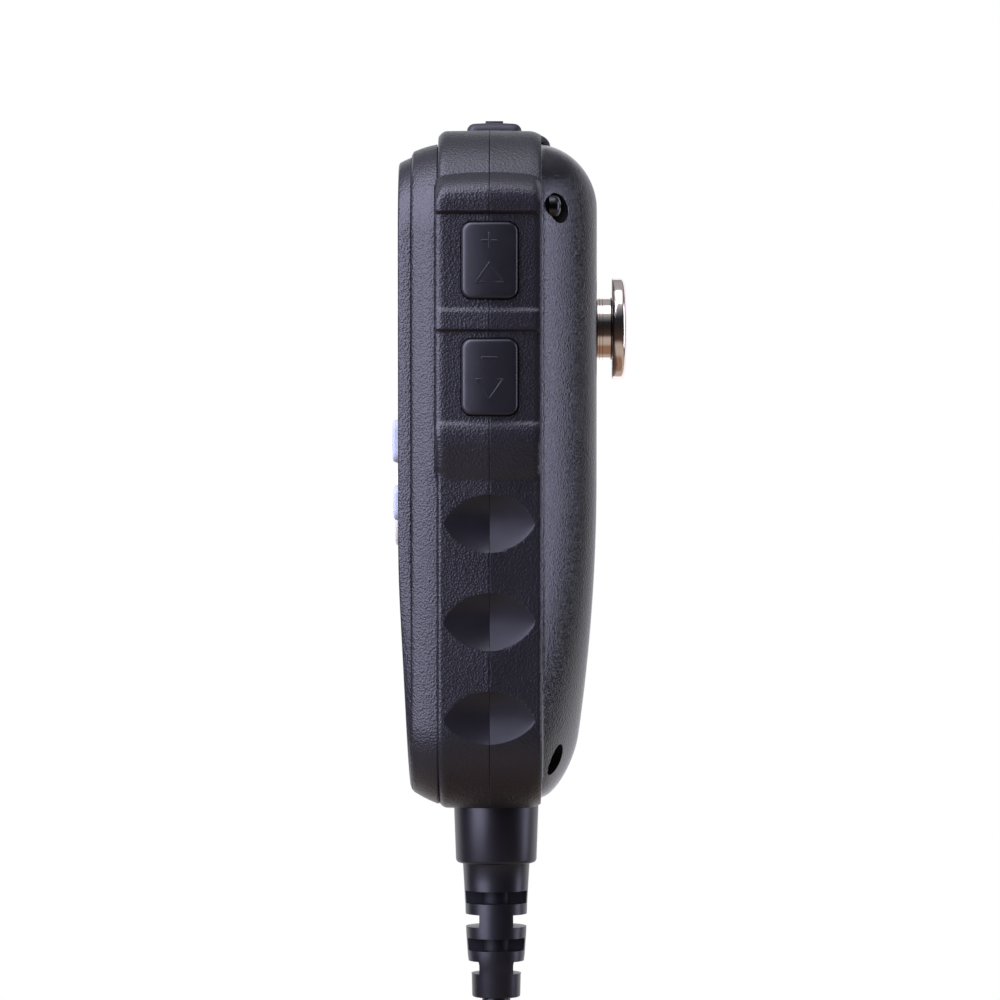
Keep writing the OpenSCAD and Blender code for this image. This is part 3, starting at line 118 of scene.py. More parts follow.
def lathe(profile, steps=96, axis="z", centre=(0, 0, 0)):
    """Profile of (radius, height) turned about an axis: a ring, unless the profile starts and ends on the axis."""
    p = np.asarray(profile, float)
    a = np.linspace(0, 2 * np.pi, steps, endpoint=False)
    across, up = np.outer(p[:, 0], np.cos(a)), np.outer(p[:, 0], np.sin(a))
    points = np.stack([across, up, np.repeat(p[:, 1:2], steps, 1)], -1).reshape(-1, 3)
    if axis == "y":
        points = points[:, [1, 2, 0]]
    closed = p[0, 0] > 1e-6 or p[-1, 0] > 1e-6
    return points + np.asarray(centre, float), grid_faces(len(p), steps, closed)


def merge(parts):
    """One mesh of several, as points and faces."""
    points, faces, n = [], [], 0
    for p, f in parts:
        points.append(np.asarray(p, float))
        faces += [[i + n for i in q] for q in f]
        n += len(p)
    return np.concatenate(points), faces


def rounded_outline(w, h, r, n=8, along=1):
    """Points of a rectangle with round corners, counter-clockwise, with its straight edges in equal parts."""
    r = min(r, w / 2 - 1e-3, h / 2 - 1e-3)
    centres = np.array([(1, 1), (-1, 1), (-1, -1), (1, -1)]) * (w / 2 - r, h / 2 - r)
    out = []
    for k in range(4):
        a = np.pi / 2 * (k + np.linspace(0, 1, n + 1))
        arc = centres[k] + r * np.column_stack([np.cos(a), np.sin(a)])
        step = (centres[(k + 1) % 4] - centres[k]) / along
        out += [arc, arc[-1] + step * np.arange(1, along)[:, None]]
    return np.concatenate(out)


def skin(rings):
    """Closed solid over a stack of rings with equal counts of points."""
    cols = len(rings[0])
    last = (len(rings) - 1) * cols
    ends = [list(range(cols))[::-1], [last + i for i in range(cols)]]
    return np.concatenate(rings), grid_faces(len(rings), cols) + ends


def stack(w, h, r, levels, n=8):
    """Solid of stacked round-cornered outlines: levels are (inset, height). Local axes: width, height, out."""
    rings = []
    for inset, z in levels:
        o = rounded_outline(w - 2 * inset, h - 2 * inset, max(r - inset, 0.15), n)
        rings.append(np.column_stack([o, np.full(len(o), z)]))
    return skin(rings)


def to_front(p, x, z):
    """Local (width, height, out) to a place on the front, out along -Y from the face."""
    return np.column_stack([x + p[:, 0], Y_FACE - p[:, 2], z + p[:, 1]])


def to_top(p, x, y):
    return np.column_stack([x + p[:, 0], y + p[:, 1], Z_TOP + p[:, 2]])


def to_band(p, side, z):
    """Local (across the band, up the band, out of the band) to a side of the case."""
    out, up = p[:, 2], p[:, 1] + z
    x = SIDE_X0 + out * SIDE_N[0] + up * SIDE_T[0]
    zz = out * SIDE_N[1] + up * SIDE_T[1]
    return np.column_stack([side * x, Y_PART + p[:, 0], zz])


def oriented(points, faces):
    """Faces turned so that the closed solid's volume is positive."""
    p = np.asarray(points, float)
    v = sum(np.dot(p[f[0]], np.cross(p[f[i]], p[f[i + 1]])) for f in faces for i in range(1, len(f) - 1))
    return [list(f)[::-1] if v < 0 else list(f) for f in faces]


def merge_solids(parts):
    """One mesh of closed solids, each with its faces outwards."""
    return merge([(p, oriented(p, f)) for p, f in parts])


def solid(name, part, material, smooth=SMOOTH):
    points, faces = part
    return add_mesh(name, points, oriented(points, faces), material, smooth)


def cut(obj, parts, smooth=SMOOTH):
    """Takes closed solids that don't touch each other, as (points, faces, material), away from the object."""
    tool_mats = list({p[2].name: p[2] for p in parts}.values())
    points, faces = merge_solids([p[:2] for p in parts])
    tool = add_mesh("cutter", points, faces)
    for mat in tool_mats:
        tool.data.materials.append(mat)
    index = [tool_mats.index(p[2]) for p in parts for _ in p[1]]
    tool.data.polygons.foreach_set("material_index", index)
    mod = obj.modifiers.new("cut", "BOOLEAN")
    mod.operation, mod.solver, mod.object, mod.material_mode = "DIFFERENCE", "EXACT", tool, "TRANSFER"
    made = bpy.data.meshes.new_from_object(obj.evaluated_get(bpy.context.evaluated_depsgraph_get()))
    obj.modifiers.clear()
    old, obj.data = obj.data, made
    bpy.data.meshes.remove(old)
    bpy.data.objects.remove(tool)
    shade(obj, smooth)


# Materials. A spread is the share by which patches differ from the colour
CASE_SPREAD, SATIN_SPREAD, PALE_SPREAD, FLOOR_SPREAD = 0.16, 0.12, 0.04, 0.02


def material(name, color, rough, metal=0.0, **more):
    """Principled material, as (material, shader, add, link): add makes a node and link joins two sockets."""
    mat = bpy.data.materials.new(name)
    mat.use_nodes = True
    tree = mat.node_tree
    shader = tree.nodes["Principled BSDF"]
    shader.inputs["Base Color"].default_value = (*color, 1.0)
    shader.inputs["Roughness"].default_value = rough
    shader.inputs["Metallic"].default_value = metal
    for key, value in more.items():
        shader.inputs[key.replace("_", " ")].default_value = value

    def add(kind, **values):
        node = tree.nodes.new(kind)
        for key, value in values.items():
            if key in node.inputs:
                node.inputs[key].default_value = value
            else:
                setattr(node, key, value)
        return node

    return mat, shader, add, tree.links.new


def coordinates(add, link, scale=(1.0, 1.0, 1.0)):
    """Object coordinates in millimetres."""
    tex = add("ShaderNodeTexCoord")
    mapping = add("ShaderNodeMapping")
    mapping.inputs["Scale"].default_value = tuple(1000.0 * s for s in scale)
    link(tex.outputs["Object"], mapping.inputs["Vector"])
    return mapping.outputs["Vector"]


def ramp(add, link, value, stops):
    """Colour over a value, through (position, colour) stops."""
    node = add("ShaderNodeValToRGB")
    while len(node.color_ramp.elements) < len(stops):
        node.color_ramp.elements.new(0.5)
    for element, (pos, color) in zip(node.color_ramp.elements, stops):
        element.position = pos
        element.color = (*color, 1.0)
    link(value, node.inputs["Fac"])
    return node.outputs["Color"]


def bumps(add, link, shader, layers):
    """Chains bump nodes: layers are (height socket, strength, distance in millimetres)."""
    normal = None
    for height, strength, distance in layers:
        node = add("ShaderNodeBump", Strength=strength, Distance=distance * MM)
        link(height, node.inputs["Height"])
        if normal:
            link(normal, node.inputs["Normal"])
        normal = node.outputs["Normal"]
    link(normal, shader.inputs["Normal"])


def vary(add, link, vector, shader, color, spread, scale, rough=None):
    """Soft patches of slightly lighter and darker colour, and of roughness."""
    noise = add("ShaderNodeTexNoise", Scale=scale, Detail=4.0)
    link(vector, noise.inputs["Vector"])
    low = tuple(c * (1 - spread) for c in color)
    high = tuple(min(1.0, c * (1 + spread)) for c in color)
    link(ramp(add, link, noise.outputs["Fac"], [(0.3, low), (0.7, high)]), shader.inputs["Base Color"])
    if rough:
        node = add("ShaderNodeMapRange")
        node.inputs["To Min"].default_value, node.inputs["To Max"].default_value = rough
        link(noise.outputs["Fac"], node.inputs["Value"])
        link(node.outputs["Result"], shader.inputs["Roughness"])


def grained_plastic(name, color, rough, grain, strength, fine=0.12):
    """Moulded plastic with a leather-like grain: worm-shaped cells of the given size in millimetres."""
    mat, shader, add, link = material(name, color, sum(rough) / 2)
    vector = coordinates(add, link)
    vary(add, link, vector, shader, color, CASE_SPREAD, 0.12, rough)
    warp = add("ShaderNodeTexNoise", Scale=0.9 / grain, Detail=2.0)
    link(vector, warp.inputs["Vector"])
    bend = add("ShaderNodeVectorMath", operation="MULTIPLY_ADD")
    bend.inputs[1].default_value = (0.7 * grain,) * 3
    link(warp.outputs["Color"], bend.inputs[0])
    link(vector, bend.inputs[2])
    cells = add("ShaderNodeTexVoronoi", Scale=1.0 / grain, feature="SMOOTH_F1", Smoothness=0.35)
    link(bend.outputs["Vector"], cells.inputs["Vector"])
    grit = add("ShaderNodeTexNoise", Scale=3.0, Detail=3.0)
    link(vector, grit.inputs["Vector"])
    layers = [(cells.outputs["Distance"], strength, 0.3 * grain), (grit.outputs["Fac"], fine, 0.05)]
    bumps(add, link, shader, layers)
    return mat


def satin_plastic(name, color, rough, spread=SATIN_SPREAD, **more):
    """Smooth moulded plastic or rubber with faint flow marks and dust-fine grit."""
    mat, shader, add, link = material(name, color, sum(rough) / 2, **more)
    vector = coordinates(add, link)
    vary(add, link, vector, shader, color, spread, 0.25, rough)
    grit = add("ShaderNodeTexNoise", Scale=6.0, Detail=3.0)
    link(vector, grit.inputs["Vector"])
    bumps(add, link, shader, [(grit.outputs["Fac"], 0.12, 0.03)])
    return mat


def turned_metal(name, color, rough, axis=1, pitch=0.09, strength=0.25):
    """Plated metal with the fine lines that turning leaves, spaced along an axis."""
    mat, shader, add, link = material(name, color, sum(rough) / 2, metal=1.0)
    scale = [0.02, 0.02, 0.02]
    scale[axis] = 1.0 / pitch
    vector = coordinates(add, link, scale)
    lines = add("ShaderNodeTexNoise", Scale=1.0, Detail=2.0)
    link(vector, lines.inputs["Vector"])
    plain = coordinates(add, link)
    vary(add, link, plain, shader, color, 0.06, 0.4, rough)
    bumps(add, link, shader, [(lines.outputs["Fac"], strength, 0.01)])
    return mat


M = {}
BLACK = (0.0085, 0.008, 0.0105)
M["band"] = grained_plastic("case_grain", BLACK, (0.35, 0.43), 0.33, 0.6)
M["rear"] = grained_plastic("rear_grain", BLACK, (0.16, 0.21), 0.3, 0.4, 0.2)
M["panel"] = grained_plastic("panel_grain", BLACK, (0.32, 0.4), 0.32, 0.65)
M["dip"] = satin_plastic("scallop_satin", BLACK, (0.36, 0.44), Specular_IOR_Level=0.38)
# Walls of the casing-screw mouths: near-black and low in specular, painted shade in place of the dark inside of the
# holes
M["hole"] = satin_plastic("hole_painted_shade", (0.004, 0.004, 0.005), (0.55, 0.7), Specular_IOR_Level=0.12)
M["core"] = satin_plastic("boot_core", (0.006, 0.006, 0.0085), (0.5, 0.6), Specular_IOR_Level=0.25)
M["dark_key"] = satin_plastic("dark_key_satin", (0.008, 0.008, 0.0105), (0.34, 0.42))
M["top_key"] = satin_plastic("top_key_satin", (0.014, 0.0135, 0.018), (0.48, 0.58))
M["boot"] = satin_plastic("boot_rubber", (0.0055, 0.0055, 0.008), (0.34, 0.42), Specular_IOR_Level=0.54)
M["cord"] = satin_plastic("cord_jacket", (0.0075, 0.0075, 0.01), (0.36, 0.46))
M["pale_key"] = satin_plastic("pale_key", (0.39, 0.425, 0.49), (0.42, 0.5), PALE_SPREAD,
                              Specular_IOR_Level=0.3)
M["ring"] = satin_plastic("pale_ring", (0.62, 0.6, 0.54), (0.42, 0.5), PALE_SPREAD, Specular_IOR_Level=0.3)
M["stud"] = turned_metal("stud_plate", (0.8, 0.71, 0.64), (0.1, 0.18), strength=0.4)
M["screw"] = turned_metal("screw_black", (0.05, 0.05, 0.055), (0.2, 0.32))


# Cord: hangs straight down in curls; the same line as in the part's source
CORD_D, CURL_D, CURL_PITCH, CURLS = 4.6, 20.0, 5.0, 28
LEAD_L, CURL_END, RUN_TURNS, RUN_DROP, TAIL_L = 1.0, 5.0, 0.8, 7.0, 7.0
CURL_STEPS, RUN_GAP = 24, 0.6
CURL_R = (CURL_D - CORD_D) / 2
TURNS = CURLS + 2 * RUN_TURNS
LEAD_LOW = BOOT_TIP_Z - LEAD_L
CURL_TOP = LEAD_LOW - CURL_END
CURL_LOW = CURL_TOP - CURL_PITCH * TURNS - 2 * RUN_DROP
TAIL_LOW = CURL_LOW - CURL_END - TAIL_L


def curl_point(t):
    """Point of the cord's line after t turns; the first and last turns grow from the straight runs."""
    a, b = min(1.0, t / RUN_TURNS), min(1.0, (TURNS - t) / RUN_TURNS)
    q = CURL_R * a * a * (3 - 2 * a) * b * b * (3 - 2 * b)
    z = CURL_TOP - CURL_PITCH * t - RUN_DROP * a * (2 - a) - RUN_DROP * (1 - b * (2 - b))
    return [q * math.cos(2 * math.pi * t), BOOT_Y + q * math.sin(2 * math.pi * t), z]


def cord_points():
    top = [[0.0, BOOT_Y, z] for z in np.linspace(BOOT_TIP_Z, CURL_TOP + RUN_GAP, 6)]
    steps = round(CURL_STEPS * TURNS)
    curls = [curl_point(TURNS * i / steps) for i in range(steps + 1)]
    low = [[0.0, BOOT_Y, z] for z in np.linspace(CURL_LOW - RUN_GAP, TAIL_LOW, 10)]
    return np.array(top + curls + low)


def make_cord():
    points = cord_points() * MM
    data = bpy.data.curves.new("curly_cord_jacket", "CURVE")
    data.dimensions = "3D"
    data.bevel_depth = CORD_D / 2 * MM
    data.bevel_resolution = 5
    data.use_fill_caps = True
    spline = data.splines.new("POLY")
    spline.points.add(len(points) - 1)
    spline.points.foreach_set("co", np.column_stack([points, np.ones(len(points))]).ravel())
    spline.use_smooth = True
    obj = bpy.data.objects.new("curly_cord_jacket", data)
    bpy.context.scene.collection.objects.link(obj)
    data.materials.append(M["cord"])
    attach(obj, "case")
    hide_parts("cord_lead", "curly_cord", "cord_tail")


make_cord()


# Outline of the case
BLOCK_END = 0.543


def outline():
    """Points and normals: the right half from the top to the bottom, then the left half back up."""
    def arc(c, a0, a1, n):
        a = np.linspace(a0, a1, n, endpoint=False)
        normal = np.column_stack([np.cos(a), np.sin(a)])
        return np.column_stack([c + CORNER_R * normal, normal])

    def run(p, q, normal, n):
        t = np.linspace(0, 1, n, endpoint=False)[:, None]
        xy = np.asarray(p) * (1 - t) + np.asarray(q) * t
        return np.column_stack([xy, np.tile(normal, (n, 1))])

    block_end = SIDE_TOP * (1 - BLOCK_END) + SIDE_LOW * BLOCK_END
    half = np.concatenate([
        run([0, Z_TOP], [TOP_C[0], Z_TOP], [0, 1], 18),
        arc(TOP_C, math.pi / 2, SIDE_A, 120),
        run(SIDE_TOP, block_end, SIDE_N, 207),
        run(block_end, SIDE_LOW, SIDE_N, 44),
        arc(LOW_C, SIDE_A, -math.pi / 2, 52),
        run([LOW_C[0], Z_BOT], [0, Z_BOT], [0, -1], 14),
        [[0, Z_BOT, 0, -1]],
    ])
    left = half[1:-1][::-1] * np.array([-1, 1, -1, 1])
    return np.concatenate([half, left])


RING = outline()


def back_y(z):
    return -np.maximum(0, BACK_BEND_Z - z) ** 2 / (2 * BACK_BEND_R)


def face_y(z):
    t = FACE_BEND_Z - z
    bend = np.where(t < FACE_BEND_L, t * t / (2 * FACE_BEND_L), t - FACE_BEND_L / 2)
    return Y_FACE + FACE_SLOPE * np.where(t <= 0, 0, bend)


def soft_max(a, b, k):
    h = np.clip(0.5 + 0.5 * (a - b) / k, 0, 1)
    return b + (a - b) * h + k * h * (1 - h)


def soft_profile(points, blur, reach=40, step=0.02):
    """Height over z through (z, height) points, with its corners rounded over the blur length."""
    pts = np.array(sorted(points))
    z = np.arange(-reach, reach, step)
    x = np.interp(z, pts[:, 0], pts[:, 1])
    n = max(3, int(blur / step) | 1)
    kernel = np.hanning(n + 2)[1:-1]
    return z, np.convolve(x, kernel / kernel.sum(), "same")


# Raised blocks of the sides, as heights over the band: the volume keys' on the right, the talk bar's on the left
BLOCK_BROW = [(40, -60), (23.4, -4.0), (22.6, -1.7), (22.1, -0.5), (21.75, 0.15), (21.4, 0.65), (21.0, 1.1),
              (20.5, 1.5), (19.8, 1.83), (18.9, 1.95), (18.0, 1.92), (17.1, 1.84)]
VOLUME_BLOCK = soft_profile(BLOCK_BROW + [
    (16.95, 1.9), (16.5, 1.0), (2.15, 1.0), (1.55, 1.45), (-1.0, 1.6), (-1.2, 1.55), (-1.55, 1.0), (-15.3, 1.0),
    (-15.9, 1.45), (-16.6, 1.62), (-17.4, 1.66), (-18.7, 1.55), (-20.5, 1.15), (-22.6, 0.62), (-24.6, -0.08),
    (-26.4, -0.75), (-27.4, -1.5), (-40, -9)], 0.5)
PTT_BLOCK = soft_profile(BLOCK_BROW + [
    (14.5, 1.7), (-20.5, 1.35), (-22.1, 1.1), (-25.9, -0.6), (-27.1, -1.4), (-40, -9)], 0.4)
BLOCK_EDGE_R, BLOCK_EDGE_H, BLOCK_SOFT_R, BLOCK_SOFT_H = 1.4, 0.75, 1.2, 0.55
BLOCK_SIDE, BLOCK_ARCH, BLOCK_FALL, BLOCK_OVER, BLOCK_BLEND = 0.1, 0.5, 0.05, 0.06, 0.1
BLOCK_WIDER, WIDER_FROM, WIDER_IN, WIDER_TO, WIDER_OUT = 0.35, -27.3, 2.1, -21.0, 3.0
BLOCK_CORNER_R, BLOCK_CORNER_Z = 1.5, 17.2
BLOCK_FACING, BLOCK_LOWEST = 0.35, -70.0
BAND_CROWN, TOP_LIFT = 0.4, 0.5
SCALLOP_Z, SCALLOP_PITCH, SCALLOPS = -31.1, 15.2, 3
SCALLOP_HALF_L, SCALLOP_H, SCALLOP_DEPTH, SCALLOP_OVER = 7.1, 9.0, 1.55, 1.18


def smooth_step(t):
    t = np.clip(t, 0, 1)
    return t * t * (3 - 2 * t)


def on_side(x, z):
    """Distance out of the side's plane and way up it."""
    return (x - SIDE_X0) * SIDE_N[0] + z * SIDE_N[1], (x - SIDE_X0) * SIDE_T[0] + z * SIDE_T[1]


def block_height(up, across, side):
    """Height of a side's raised block over the band's plane, with its corners rounded."""
    z, x = VOLUME_BLOCK if side > 0 else PTT_BLOCK
    over = max(0.0, across - (BAND_W / 2 - BLOCK_SIDE - BLOCK_CORNER_R))
    corner = BLOCK_CORNER_R - math.sqrt(max(0.0, BLOCK_CORNER_R ** 2 - over * over))
    arch = BLOCK_ARCH * (2 * across / BAND_W) ** 2 * smooth_step((up - BLOCK_CORNER_Z) / 4.0)
    turn = corner * np.sign(up) * smooth_step((np.abs(up) - BLOCK_CORNER_Z) / 2.0)
    return np.interp(up + turn + arch, z, x)


def dress_band(x, z, y, side):
    """Raised block on the points of one side of the band."""
    out, up = on_side(x, z)
    across = abs(y - Y_PART)
    over = across - (BAND_W / 2 - BLOCK_SIDE - BLOCK_EDGE_R)
    if over < BLOCK_EDGE_R:
        drop = BLOCK_EDGE_H * (1 - math.sqrt(1 - (max(0.0, over) / BLOCK_EDGE_R) ** 2))
        bend = min(BLOCK_SOFT_R, max(0.0, across - BAND_W / 2 + BLOCK_SOFT_R))
        fall = BLOCK_FALL * across + BLOCK_SOFT_H * (1 - math.sqrt(1 - (bend / BLOCK_SOFT_R) ** 2))
        profile = np.minimum(block_height(up, across, side) - fall, BLOCK_RISE + BLOCK_OVER - drop)
        out = soft_max(out, profile, BLOCK_BLEND)
    return SIDE_X0 + out * SIDE_N[0] + up * SIDE_T[0], out * SIDE_N[1] + up * SIDE_T[1]


def block_reach(side):
    """Points of the outline that a side's block can reach."""
    return (side * RING[:, 2] > BLOCK_FACING) & (RING[:, 1] > BLOCK_LOWEST)


def block_presence():
    """How much of a raised block there is at each point of the outline, from 0 to 1."""
    made = np.zeros(len(RING))
    for side in (1, -1):
        on = block_reach(side)
        out, up = on_side(side * RING[on, 0], RING[on, 1])
        made[on] = smooth_step((block_height(up, 6.5, side) - out) / 0.8)
    return made


PRESENCE = block_presence()


def scallop_tools():
    """Finger scallops of both sides: rims shaped like a lens, deepest along a crease on the parting line."""
    lens_r = (SCALLOP_HALF_L ** 2 + (SCALLOP_H / 2) ** 2) / SCALLOP_H
    rings = []
    for t in np.sin(np.radians(np.linspace(-80, 80, 49))):
        across = t * SCALLOP_HALF_L
        half = math.sqrt(lens_r ** 2 - across ** 2) - lens_r + SCALLOP_H / 2
        depth = SCALLOP_DEPTH * (1 - abs(t))
        v = np.linspace(-SCALLOP_OVER, SCALLOP_OVER, 41)
        out = -BAND_CROWN * abs(across) / (BAND_W / 2) - depth * (1 - v * v)
        v, out = np.append(v, [SCALLOP_OVER, -SCALLOP_OVER]), np.append(out, [3.0, 3.0])
        rings.append(np.column_stack([np.full(len(v), across), half * v, out]))
    p, f = skin(rings)
    heights = [SCALLOP_Z - i * SCALLOP_PITCH for i in range(SCALLOPS)]
    return [(to_band(p, side, z), f) for side in (1, -1) for z in heights]


def case_ring(dx, dz, shift, y, u=0.0, target=None, band=False, edge=0.0, lift=0.0):
    """One station round the case: insets of sides and ends, shift up, depth and share of the way to a target.
    The edge is one more inset, laid on after the blocks, and the lift raises the top."""
    p = RING[:, :2] - np.column_stack([dx * RING[:, 2], dz * RING[:, 3]]) + np.array([0, shift])
    p[:, 1] += lift * np.maximum(0, RING[:, 3]) ** 2
    if band:
        for side in (1, -1):
            on = block_reach(side)
            x, z = dress_band(side * p[on, 0], p[on, 1], y, side)
            p[on, 0], p[on, 1] = side * x, z
    p = p - edge * RING[:, 2:]
    depth = np.full(len(p), float(y))
    # The blocks stand a little in front of the band, and the strip's edge gives way to them
    if y < Y_PART:
        near = smooth_step((y - WIDER_FROM) / WIDER_IN) * smooth_step((WIDER_TO - y) / WIDER_OUT)
        depth -= BLOCK_WIDER * PRESENCE * near
    if target is not None:
        depth = y + u * (target(p[:, 1]) - y)
    return np.column_stack([p[:, 0], depth, p[:, 1]])


def ladder(start, count, flip):
    """Cap over a ring of points that is its own mirror image left and right."""
    faces = [[start, start + 1, start + count - 1]]
    for i in range(1, count // 2 - 1):
        faces.append([start + i, start + i + 1, start + count - i - 1, start + count - i])
    faces.append([start + count // 2 - 1, start + count // 2, start + count // 2 + 1])
    return [f[::-1] for f in faces] if flip else faces


def band_stations(y_edge, towards, end_r, end_w, edge_w):
    """Outer stations of one half of the grip band, from its outer edge to the parting line."""
    out = []
    for s in [0.0, 0.04, 0.1, 0.16, 0.24, 0.34, 0.48, 0.66, 0.9, 1.2, 1.5] + list(np.arange(1.8, 7.61, 0.29)):
        y = y_edge + towards * s
        crown = BAND_CROWN * (BAND_W / 2 - s) / (BAND_W / 2)
        round_off = 0.3 * max(0.0, 1 - s / 0.5) ** 2
        end_round = end_r * max(0.0, 1 - s / end_w) ** 2
        out.append(dict(dx=crown + round_off, dz=0.3 * crown + end_round, shift=0.0, y=y, band=True,
                        lift=TOP_LIFT))
    half = BAND_W / 2 - 0.02
    last = dict(dx=0.0, dz=0.0, shift=0.0, band=True, lift=TOP_LIFT)
    for way, deep in ((1.0, 0.0), (0.55, 0.04), (0.28, 0.12), (0.08, 0.3), (0.0, 0.6)):
        out.append(dict(last, y=y_edge + towards * (half - edge_w * way), edge=edge_w * deep))
    out.append(dict(last, y=y_edge + towards * (half - 0.01), edge=0.4))
    return out


WALL, SHUT, STRIP_DROP = 3.4, 0.02, -0.2
PANEL_LEAN, LEAN_Z, LEAN_L = 0.35, -34.0, 16.0


def station(inset, shift, y, lift=0.0):
    return dict(dx=inset, dz=inset, shift=shift, y=y, lift=lift)


def front_shell():
    """Inner rim under the panel, the strip, the groove behind it, half of the band, and the inside."""
    stations = [station(inset, STRIP_DROP, y) for inset, y in (
        (5.3, -27.6), (5.3, -28.9), (5.2, Y_SEAM), (3.6, Y_SEAM), (3.15, -28.96), (3.0, -28.84))]
    for t in np.linspace(0.08, 0.97, 12):
        inset = 3.0 - 1.6 * t - 0.14 * math.sin(math.pi * t)
        stations.append(station(inset, STRIP_DROP - 0.5 * t, Y_SEAM + 4.12 * t, TOP_LIFT * (0.5 + 0.4 * t)))
    stations += [station(inset, shift, y) for inset, shift, y in (
        (1.47, -0.69, -24.96), (1.5, -0.7, -24.92), (1.47, -0.68, -24.88), (1.3, -0.55, -24.85), (1.0, -0.28, -24.82),
        (0.75, -0.08, -24.81))]
    stations += band_stations(Y_BF, 1, 0.9, 1.26, 0.22)
    # The inner rims of both shells pass each other, so no light shows through the parting line
    stations += [station(WALL, 0, Y_PART + SHUT), station(WALL, 0, -23.6), station(5.2, STRIP_DROP, -25.4)]
    rings = [case_ring(**s) for s in stations]
    return np.concatenate(rings), grid_faces(len(rings), len(RING), True)


def rear_shell():
    """Half of the band, the step behind it, the rounded back, and the inside."""
    stations = band_stations(Y_BR, -1, 0.6, 1.9, 0.08)[::-1]
    for inset, y in ((0.8, -8.79), (1.1, -8.785), (1.4, -8.77), (1.57, -8.73), (1.63, -8.66)):
        stations.append(dict(dx=inset, dz=inset + 0.06, shift=0, y=y))
    for t in np.radians(np.concatenate([np.linspace(2.2, 74, 30), np.linspace(77, 90, 6)])):
        u, c = math.sin(t), 1 - math.cos(t)
        stations.append(dict(dx=1.6 + 9 * u + 4 * c, dz=1.7 + 0.8 * u + 9.3 * c, shift=0, y=Y_BR, u=u, target=back_y))
    outer = [case_ring(**s) for s in stations]
    inner = [case_ring(14.0, 11.5, 0, -9.5, 1.0, lambda z: back_y(z) - 2.2),
             case_ring(8.0, 5.5, 0, -10.2, 0.5, back_y),
             case_ring(3.6, 3.6, 0, -10.6),
             case_ring(WALL, WALL, 0, Y_PART - SHUT)]
    rings = outer + inner
    points = np.concatenate(rings)
    n = len(RING)
    # Skin from the parting edge to the back, its cap, then the inside with its own cap
    grid = np.array(grid_faces(len(rings), n))
    gap = len(outer) - 1
    faces = grid[(grid[:, 0] // n) != gap].tolist()
    faces += ladder(gap * n, n, True)
    faces += ladder((gap + 1) * n, n, False)
    last = (len(rings) - 1) * n
    faces += [[last + i, i, (i + 1) % n, last + (i + 1) % n] for i in range(n)]
    return points, faces


def front_panel():
    """Rim behind the seam, then the side of the panel up to its face. Low down the side leans in more."""
    rings = [case_ring(d, d, shift, y) for d, shift, y in (
        (5.5, -0.2, -28.3), (5.5, -0.2, -28.95), (3.6, -0.4, Y_SEAM))]
    lean = PANEL_LEAN * smooth_step((LEAN_Z - RING[:, 1]) / LEAN_L)
    for inset, shift, y, u in (
            (3.52, -0.4, Y_SEAM - 0.01, 0.0), (3.33, -0.41, Y_SEAM, 0.03), (3.36, -0.43, Y_SEAM, 0.1),
            (3.62, -0.53, Y_SEAM, 0.5), (3.8, -0.6, Y_SEAM, 0.76), (3.89, -0.64, Y_SEAM, 0.87),
            (3.99, -0.7, Y_SEAM, 0.945), (4.1, -0.77, Y_SEAM, 0.98), (4.25, -0.82, Y_SEAM, 0.996),
            (4.5, -0.85, Y_SEAM, 1.0)):
        d = inset + lean * u
        rings.append(case_ring(d, d, shift, y, u, face_y))
    n = len(RING)
    faces = grid_faces(len(rings), n)
    faces += ladder(0, n, False) + ladder((len(rings) - 1) * n, n, True)
    return np.concatenate(rings), faces


# Openings
GAP, SHOWN_GAP, RING_GAP = 0.25, 0.14, 0.4
POCKET, KEY_FOOT, FRONT_KEY_FOOT = -3.2, -2.3, -3.7
PANEL_CUT = (-33, -27)
KEY_HOLE_R, MIC_HOLE_R, LIGHT_HOLE_R = 1.75, 0.9, 1.15
MOUTH_IN, MOUTH_DOWN = 0.62, 0.2


def band_hole(side, z, w, h, r, low):
    p, f = stack(w, h, r, [(0, low), (0, 6.0)])
    return to_band(p, side, z), f


def front_hole(x, z, w, h, r):
    p, f = stack(w, h, r, [(0, -4.0), (0, 2.0)])
    return to_front(p, x, z), f


def tube_y(x, z, r, y0, y1, steps=48):
    return lathe([(0, y0), (r, y0), (r, y1), (0, y1)], steps, "y", (x, 0, z))


def case_holes():
    """Openings of the side keys, the talk bar, the top keys and the boot."""
    w, h = VOLUME_W + 2 * SHOWN_GAP, VOLUME_H + 2 * SHOWN_GAP
    holes = [band_hole(1, z, w, h, KEY_HOLE_R, POCKET) for z in VOLUME_Z]
    holes.append(band_hole(-1, PTT_Z + 0.2, PTT_W + 0.6, PTT_H + 1.0, 1.6, -6.0))
    for side in (1, -1):
        p, f = stack(TOP_KEY_W + 2 * GAP, TOP_KEY_D + 2 * GAP, 1.4, [(0, POCKET), (0, 3.0)])
        holes.append((to_top(p, side * TOP_KEY_X, TOP_KEY_Y), f))
    holes.append(lathe([(0, -80), (5.1, -80), (5.1, -70), (0, -70)], 64, "z", (0, BOOT_Y, 0)))
    return holes


def painted(parts, mat):
    return [(p, f, mat) for p, f in parts]


def screw_hole(side, x, z, y, w, h):
    """Oval mouth over a casing screw."""
    p, f = tube_y(0, 0, 1.0, y, 3.0)
    return p * (w / 2, 1, h / 2) + (side * x, 0, z), f


screw_holes = [screw_hole(s, x - MOUTH_IN, z - MOUTH_DOWN, y, w, h)
               for (x, z, y), (w, h) in zip(SCREWS, SCREW_MOUTHS) for s in (1, -1)]
stud_seat = [tube_y(0, 0, 5.45, -0.6, 3.0, 64)]

